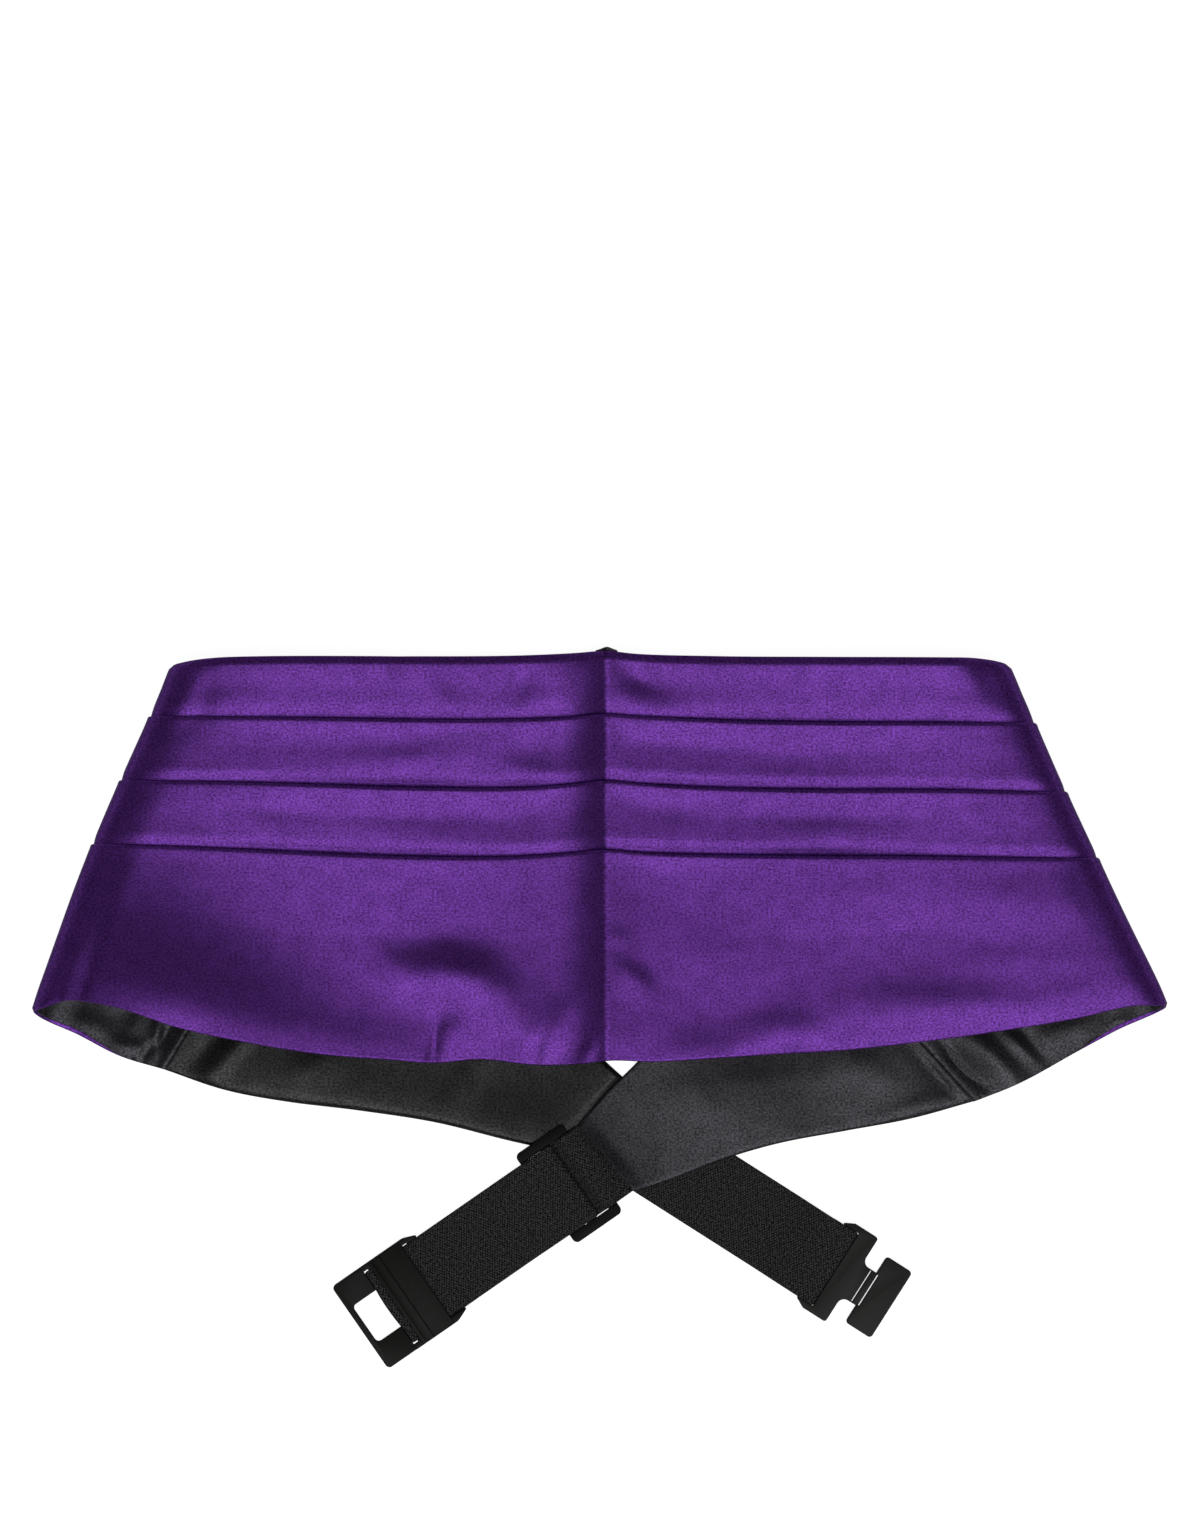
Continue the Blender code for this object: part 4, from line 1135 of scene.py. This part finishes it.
hook_line = line_after("left", HOOK_AXIS, STRAP_GAP)
slider_line = line_after("right", EYE_AXIS, -STRAP_GAP)
hook_strap = strap_rings(HOOK_FRAME, hook_strap_path(), hook_line)
eye_strap = strap_rings(EYE_FRAME, slider_strap_path(), slider_line, LOOP_BULGE)
strap_hook = wrap("elastic_to_hook", *hook_strap, black_elastic)
strap_slider = wrap("elastic_to_eye", *eye_strap, black_elastic)
for strap, node in ((strap_hook, "strap_hook"), (strap_slider, "strap_slider")):
    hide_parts(node)

# %% [markdown]
# ## The moulded pieces
# The eye buckle, the hook and the slider are plates of plastic. Each is drawn as an outline, extruded, and
# its edges are rounded with a small bevel, because a moulded edge always catches a thin line of light.


# %% Plates with rounded edges
def round_edges(bm, edges, verts, offset, segments, clamp=False):
    """Bevel some edges, and give the plate's vertices afterwards."""
    made = bmesh.ops.bevel(
        bm,
        geom=edges,
        offset=offset,
        offset_type="OFFSET",
        segments=segments,
        profile=0.5,
        affect="EDGES",
        material=-1,
        clamp_overlap=clamp,
    )
    return {v for v in verts if v.is_valid} | set(made["verts"])


def plate(bm, strap_at, outline, z, round_corners=(), radius=0.0, edge=0.3):
    """A plate of (along, across) places between two heights, with its rim and some corners rounded."""
    base = bm.faces.new([bm.verts.new((along, across, z[0])) for along, across in outline])
    raised = bmesh.ops.extrude_face_region(bm, geom=[base])
    lifted = [item for item in raised["geom"] if isinstance(item, bmesh.types.BMVert)]
    bmesh.ops.translate(bm, verts=lifted, vec=(0, 0, z[1] - z[0]))
    verts = set(base.verts) | set(lifted)
    corners = [outline[number] for number in round_corners]
    upright = [
        e
        for e in {e for v in verts for e in v.link_edges}
        if abs(e.verts[0].co.z - e.verts[1].co.z) > 0.5 * (z[1] - z[0])
        and any(math.dist(e.verts[0].co[:2], corner) < 1e-4 for corner in corners)
    ]
    if upright:
        verts = round_edges(bm, upright, verts, radius, 6)
    faces = {f for v in verts for f in v.link_faces}
    bmesh.ops.recalc_face_normals(bm, faces=list(faces))
    rim = {e for f in faces for e in f.edges if e.is_valid and e.calc_face_angle(0) > math.radians(40)}
    verts = round_edges(bm, list(rim), verts, edge, 3, clamp=True)
    verts = {w for v in verts for f in v.link_faces for w in f.verts}
    bmesh.ops.transform(bm, matrix=Matrix.Scale(MM, 4) @ strap_at, verts=list(verts))


def block(along, across):
    return [(along[0], across[0]), (along[1], across[0]), (along[1], across[1]), (along[0], across[1])]


def crossbar(bm, strap_at, along, half, z, edge=0.3):
    """A plain bar across the strap, as far to one side of its middle as to the other."""
    plate(bm, strap_at, block(along, (-half, half)), z, edge=edge)


def both_sides(half_outline):
    """A whole outline from its half on one side of the strap's middle."""
    return half_outline + [(along, -across) for along, across in reversed(half_outline)]


# %% Eye buckle
CLEAR = 0.07 + ELASTIC_WIDTH / 2  # half the space between the rails that the elastic lies between
EYE_WIDTH, EYE_WINDOW, EYE_BORDER = 35.2, 15.6, 2.1
EYE_BODY_END, EYE_EAR_END = 30.2, 34.7
EYE_FAR_TOP, EYE_RAIL_TOP = 3.4, 5.4
EAR_SLIT = (28.9, 30.6, 0.35)  # start, end and width of the slit beside the strap, in one ear
EYE_RIB_AT, EYE_RIB_TILT = (18.65, 0, 5.6), -9
wide, window = EYE_WIDTH / 2, EYE_WINDOW / 2

eye_bm = bmesh.new()
far_half = [(0, wide), (SLOT_START + 0.4, wide), (SLOT_START + 0.4, CLEAR + 0.5), (SLOT_START, CLEAR + 0.5)]
far_half += [(SLOT_START, window), (EYE_BORDER, window)]
plate(eye_bm, EYE_FRAME, both_sides(far_half), (0, EYE_FAR_TOP), (0, 5, 6, 11), 1.6, 0.35)
for sign in (1, -1):
    rail = [(SLOT_START, sign * wide), (EYE_BODY_END, sign * wide), (EYE_EAR_END, sign * (CLEAR + 0.7))]
    rail += [(EYE_EAR_END, sign * CLEAR)]
    if sign > 0:
        start, end, slit = EAR_SLIT
        rail += [(end, CLEAR), (end, CLEAR + slit), (start, CLEAR + slit), (start, CLEAR)]
    rail += [(14.2, sign * CLEAR), (14.2, sign * (CLEAR + 0.5)), (SLOT_START, sign * (CLEAR + 0.5))]
    plate(eye_bm, EYE_FRAME, rail, (0, EYE_RAIL_TOP), (1,), 0.8, 0.35)
crossbar(eye_bm, EYE_FRAME, (15.0, 18.0), CLEAR + 0.8, BAR_Z)
crossbar(eye_bm, EYE_FRAME, (15.3, BRIDGE_END), wide - 0.3, (4.7, 5.7))
crossbar(eye_bm, EYE_FRAME, (15.4, 16.8), wide - 0.4, (5.2, 6.1), 0.25)
leaning_rib = EYE_FRAME @ Matrix.Translation(EYE_RIB_AT) @ Matrix.Rotation(math.radians(EYE_RIB_TILT), 4, "Y")
crossbar(eye_bm, leaning_rib, (-1.5, 1.5), wide - 0.4, (-0.4, 0.8), 0.25)
eye_piece = finish_mesh("eye_buckle_plate", eye_bm, eye_plastic, 40)
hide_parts("buckle_eye")

# %% Hook
HOOK_WIDE, HOOK_NECK, HOOK_HEAD = 17.5, 6.8, 13.75
HOOK_FRONT, HOOK_NECK_END, HOOK_TIP, HOOK_TOP = 6.5, 12.4, 23.1, 3.4
NECK_CORNER = 2.7
hook_bm = bmesh.new()
base_half = arc((HOOK_FRONT + NECK_CORNER, HOOK_NECK + NECK_CORNER), NECK_CORNER, 270, 180, 7)
base_half += [(HOOK_FRONT, HOOK_WIDE), (-3.0, HOOK_WIDE), (-6.6, CLEAR + 0.5), (-6.6, CLEAR), (-0.22, CLEAR)]
plate(hook_bm, HOOK_FRAME, both_sides(base_half), (0, HOOK_TOP), (7, 16), 1.0, 0.35)
crossbar(hook_bm, HOOK_FRAME, (HOOK_FRONT, 10.2), HOOK_NECK, (0, HOOK_TOP - 0.1), 0.2)
crossbar(hook_bm, HOOK_FRAME, (10.6, 13.1), HOOK_NECK, (0, HOOK_TOP - 1.0), 0.2)
for sign in (1, -1):
    prong = block((9.8, 14.0), sorted((sign * 6.35, sign * HOOK_NECK)))
    plate(hook_bm, HOOK_FRAME, prong, (0, 2.3), edge=0.1)
head_half = [(HOOK_TIP, HOOK_HEAD), (HOOK_NECK_END, HOOK_HEAD), (HOOK_NECK_END, 6.5), (13.5, 6.5)]
plate(hook_bm, HOOK_FRAME, both_sides(head_half), (0, HOOK_TOP), (0, 1, 6, 7), 1.3, 0.4)
crossbar(hook_bm, HOOK_FRAME, (-6.3, -3.5), CLEAR + 0.4, BAR_Z)
hook_piece = finish_mesh("hook_plate", hook_bm, hook_plastic, 40)
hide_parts("hook")

# %% Slider
SLIDER_START, SLIDER_END, SLIDER_HALF = 79.6, 99.9, 19.0
# start, end and width of the slits where light shows beside the strap
SLIDER_SLITS = ((91.2, 96.2, 0.2), (86.2, 87.0, 0.12))
slider_bm = bmesh.new()
slider_z = (SLIDER_UNDERSIDE, SLIDER_UNDERSIDE + BAR_WALL)
for along in ((SLIDER_START, 82.6), (88.0, SLIDER_MIDDLE_END), (96.9, SLIDER_END)):
    crossbar(slider_bm, EYE_FRAME, along, CLEAR + 0.6, slider_z)
for sign in (1, -1):
    rail = [(SLIDER_START, sign * SLIDER_HALF), (SLIDER_END, sign * SLIDER_HALF), (SLIDER_END, sign * CLEAR)]
    if sign < 0:
        for start, end, slit in SLIDER_SLITS:
            rail += [(end, -CLEAR), (end, -CLEAR - slit), (start, -CLEAR - slit), (start, -CLEAR)]
    rail += [(SLIDER_START, sign * CLEAR)]
    plate(slider_bm, EYE_FRAME, rail, slider_z, (0, 1), 1.9, 0.3)
# The slider takes the darker copy of the plastic, as painted shade.
slider_piece = finish_mesh("slider_plate", slider_bm, slider_plastic_painted_shade, 40)
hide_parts("slider")

# %% [markdown]
# ## Stitches
# The elastic is sewn to each tail with a row of stitches, and two small tacks hold its folded end. Each
# stitch is a short thread that dips into the cloth at both ends, so it is a long slim bead that is half
# sunk. A ray cast from above finds the height of the cloth under it.


# %% Rows of stitches
THREAD_WIDTH, STITCH_LENGTH, STITCH_STEP = 0.42, 2.1, 2.7
ROW_FROM_SEAM, ROW_INSET = 1.5, 0.06
TACKS = ((70.9, 11.8), (68.8, -7.1))  # their places on the strap of the eye buckle
TACK_HALF, TACK_SLANT, TACK_THREADS = 1.2, 0.3, (-0.5, 0.0, 0.5)


def sew(bm, below, strap_at, start, end, step=STITCH_STEP, length=STITCH_LENGTH):
    """Stitches between two (along, across) places of a strap, each laid on the cloth below it."""
    start, end = Vector((*start, 0)), Vector((*end, 0))
    count = max(1, round((end - start).length / step))
    heading = strap_at.to_3x3() @ (end - start).normalized()
    for number in range(count):
        middle = strap_at @ (start + (end - start) * (number + 0.5) / count)
        found = below.ray_cast(Vector((middle.x * MM, middle.y * MM, 0.1)), Vector((0, 0, -1)))
        if found[0] is None:
            continue
        up = found[1]
        ahead = (heading - up * heading.dot(up)).normalized()
        turn = Matrix((ahead, up.cross(ahead), up)).transposed().to_4x4()
        size = Matrix.Diagonal((length / 2 * MM, THREAD_WIDTH / 2 * MM, THREAD_WIDTH / 2 * MM, 1))
        laid = Matrix.Translation(found[0]) @ turn @ size
        bmesh.ops.create_icosphere(bm, subdivisions=2, radius=1.0, matrix=laid)


def row_beside(strap_at, line, inward):
    """The two ends of a row that runs beside a tail's end line, in the strap's own places."""
    first, last = (strap_at.inverted() @ Vector((x, y, 0)) for x, y in line)
    inset = ROW_INSET * (last - first)
    return [((first + inset).x + inward, (first + inset).y), ((last - inset).x + inward, (last - inset).y)]


# %% Sewn rows and tacks
thread_bm = bmesh.new()
graph = bpy.context.evaluated_depsgraph_get()
eye_elastic, hook_elastic = (BVHTree.FromObject(strap, graph) for strap in (strap_slider, strap_hook))
sew(thread_bm, eye_elastic, EYE_FRAME, *row_beside(EYE_FRAME, slider_line, -ROW_FROM_SEAM))
sew(thread_bm, hook_elastic, HOOK_FRAME, *row_beside(HOOK_FRAME, hook_line, ROW_FROM_SEAM))
for along, across in TACKS:
    for beside in TACK_THREADS:
        start = (along - TACK_HALF, across + beside)
        end = (along + TACK_HALF, across + beside + TACK_SLANT)
        sew(thread_bm, eye_elastic, EYE_FRAME, start, end, step=9.0, length=2.6)
thread_piece = finish_mesh("strap_stitches", thread_bm, black_thread)
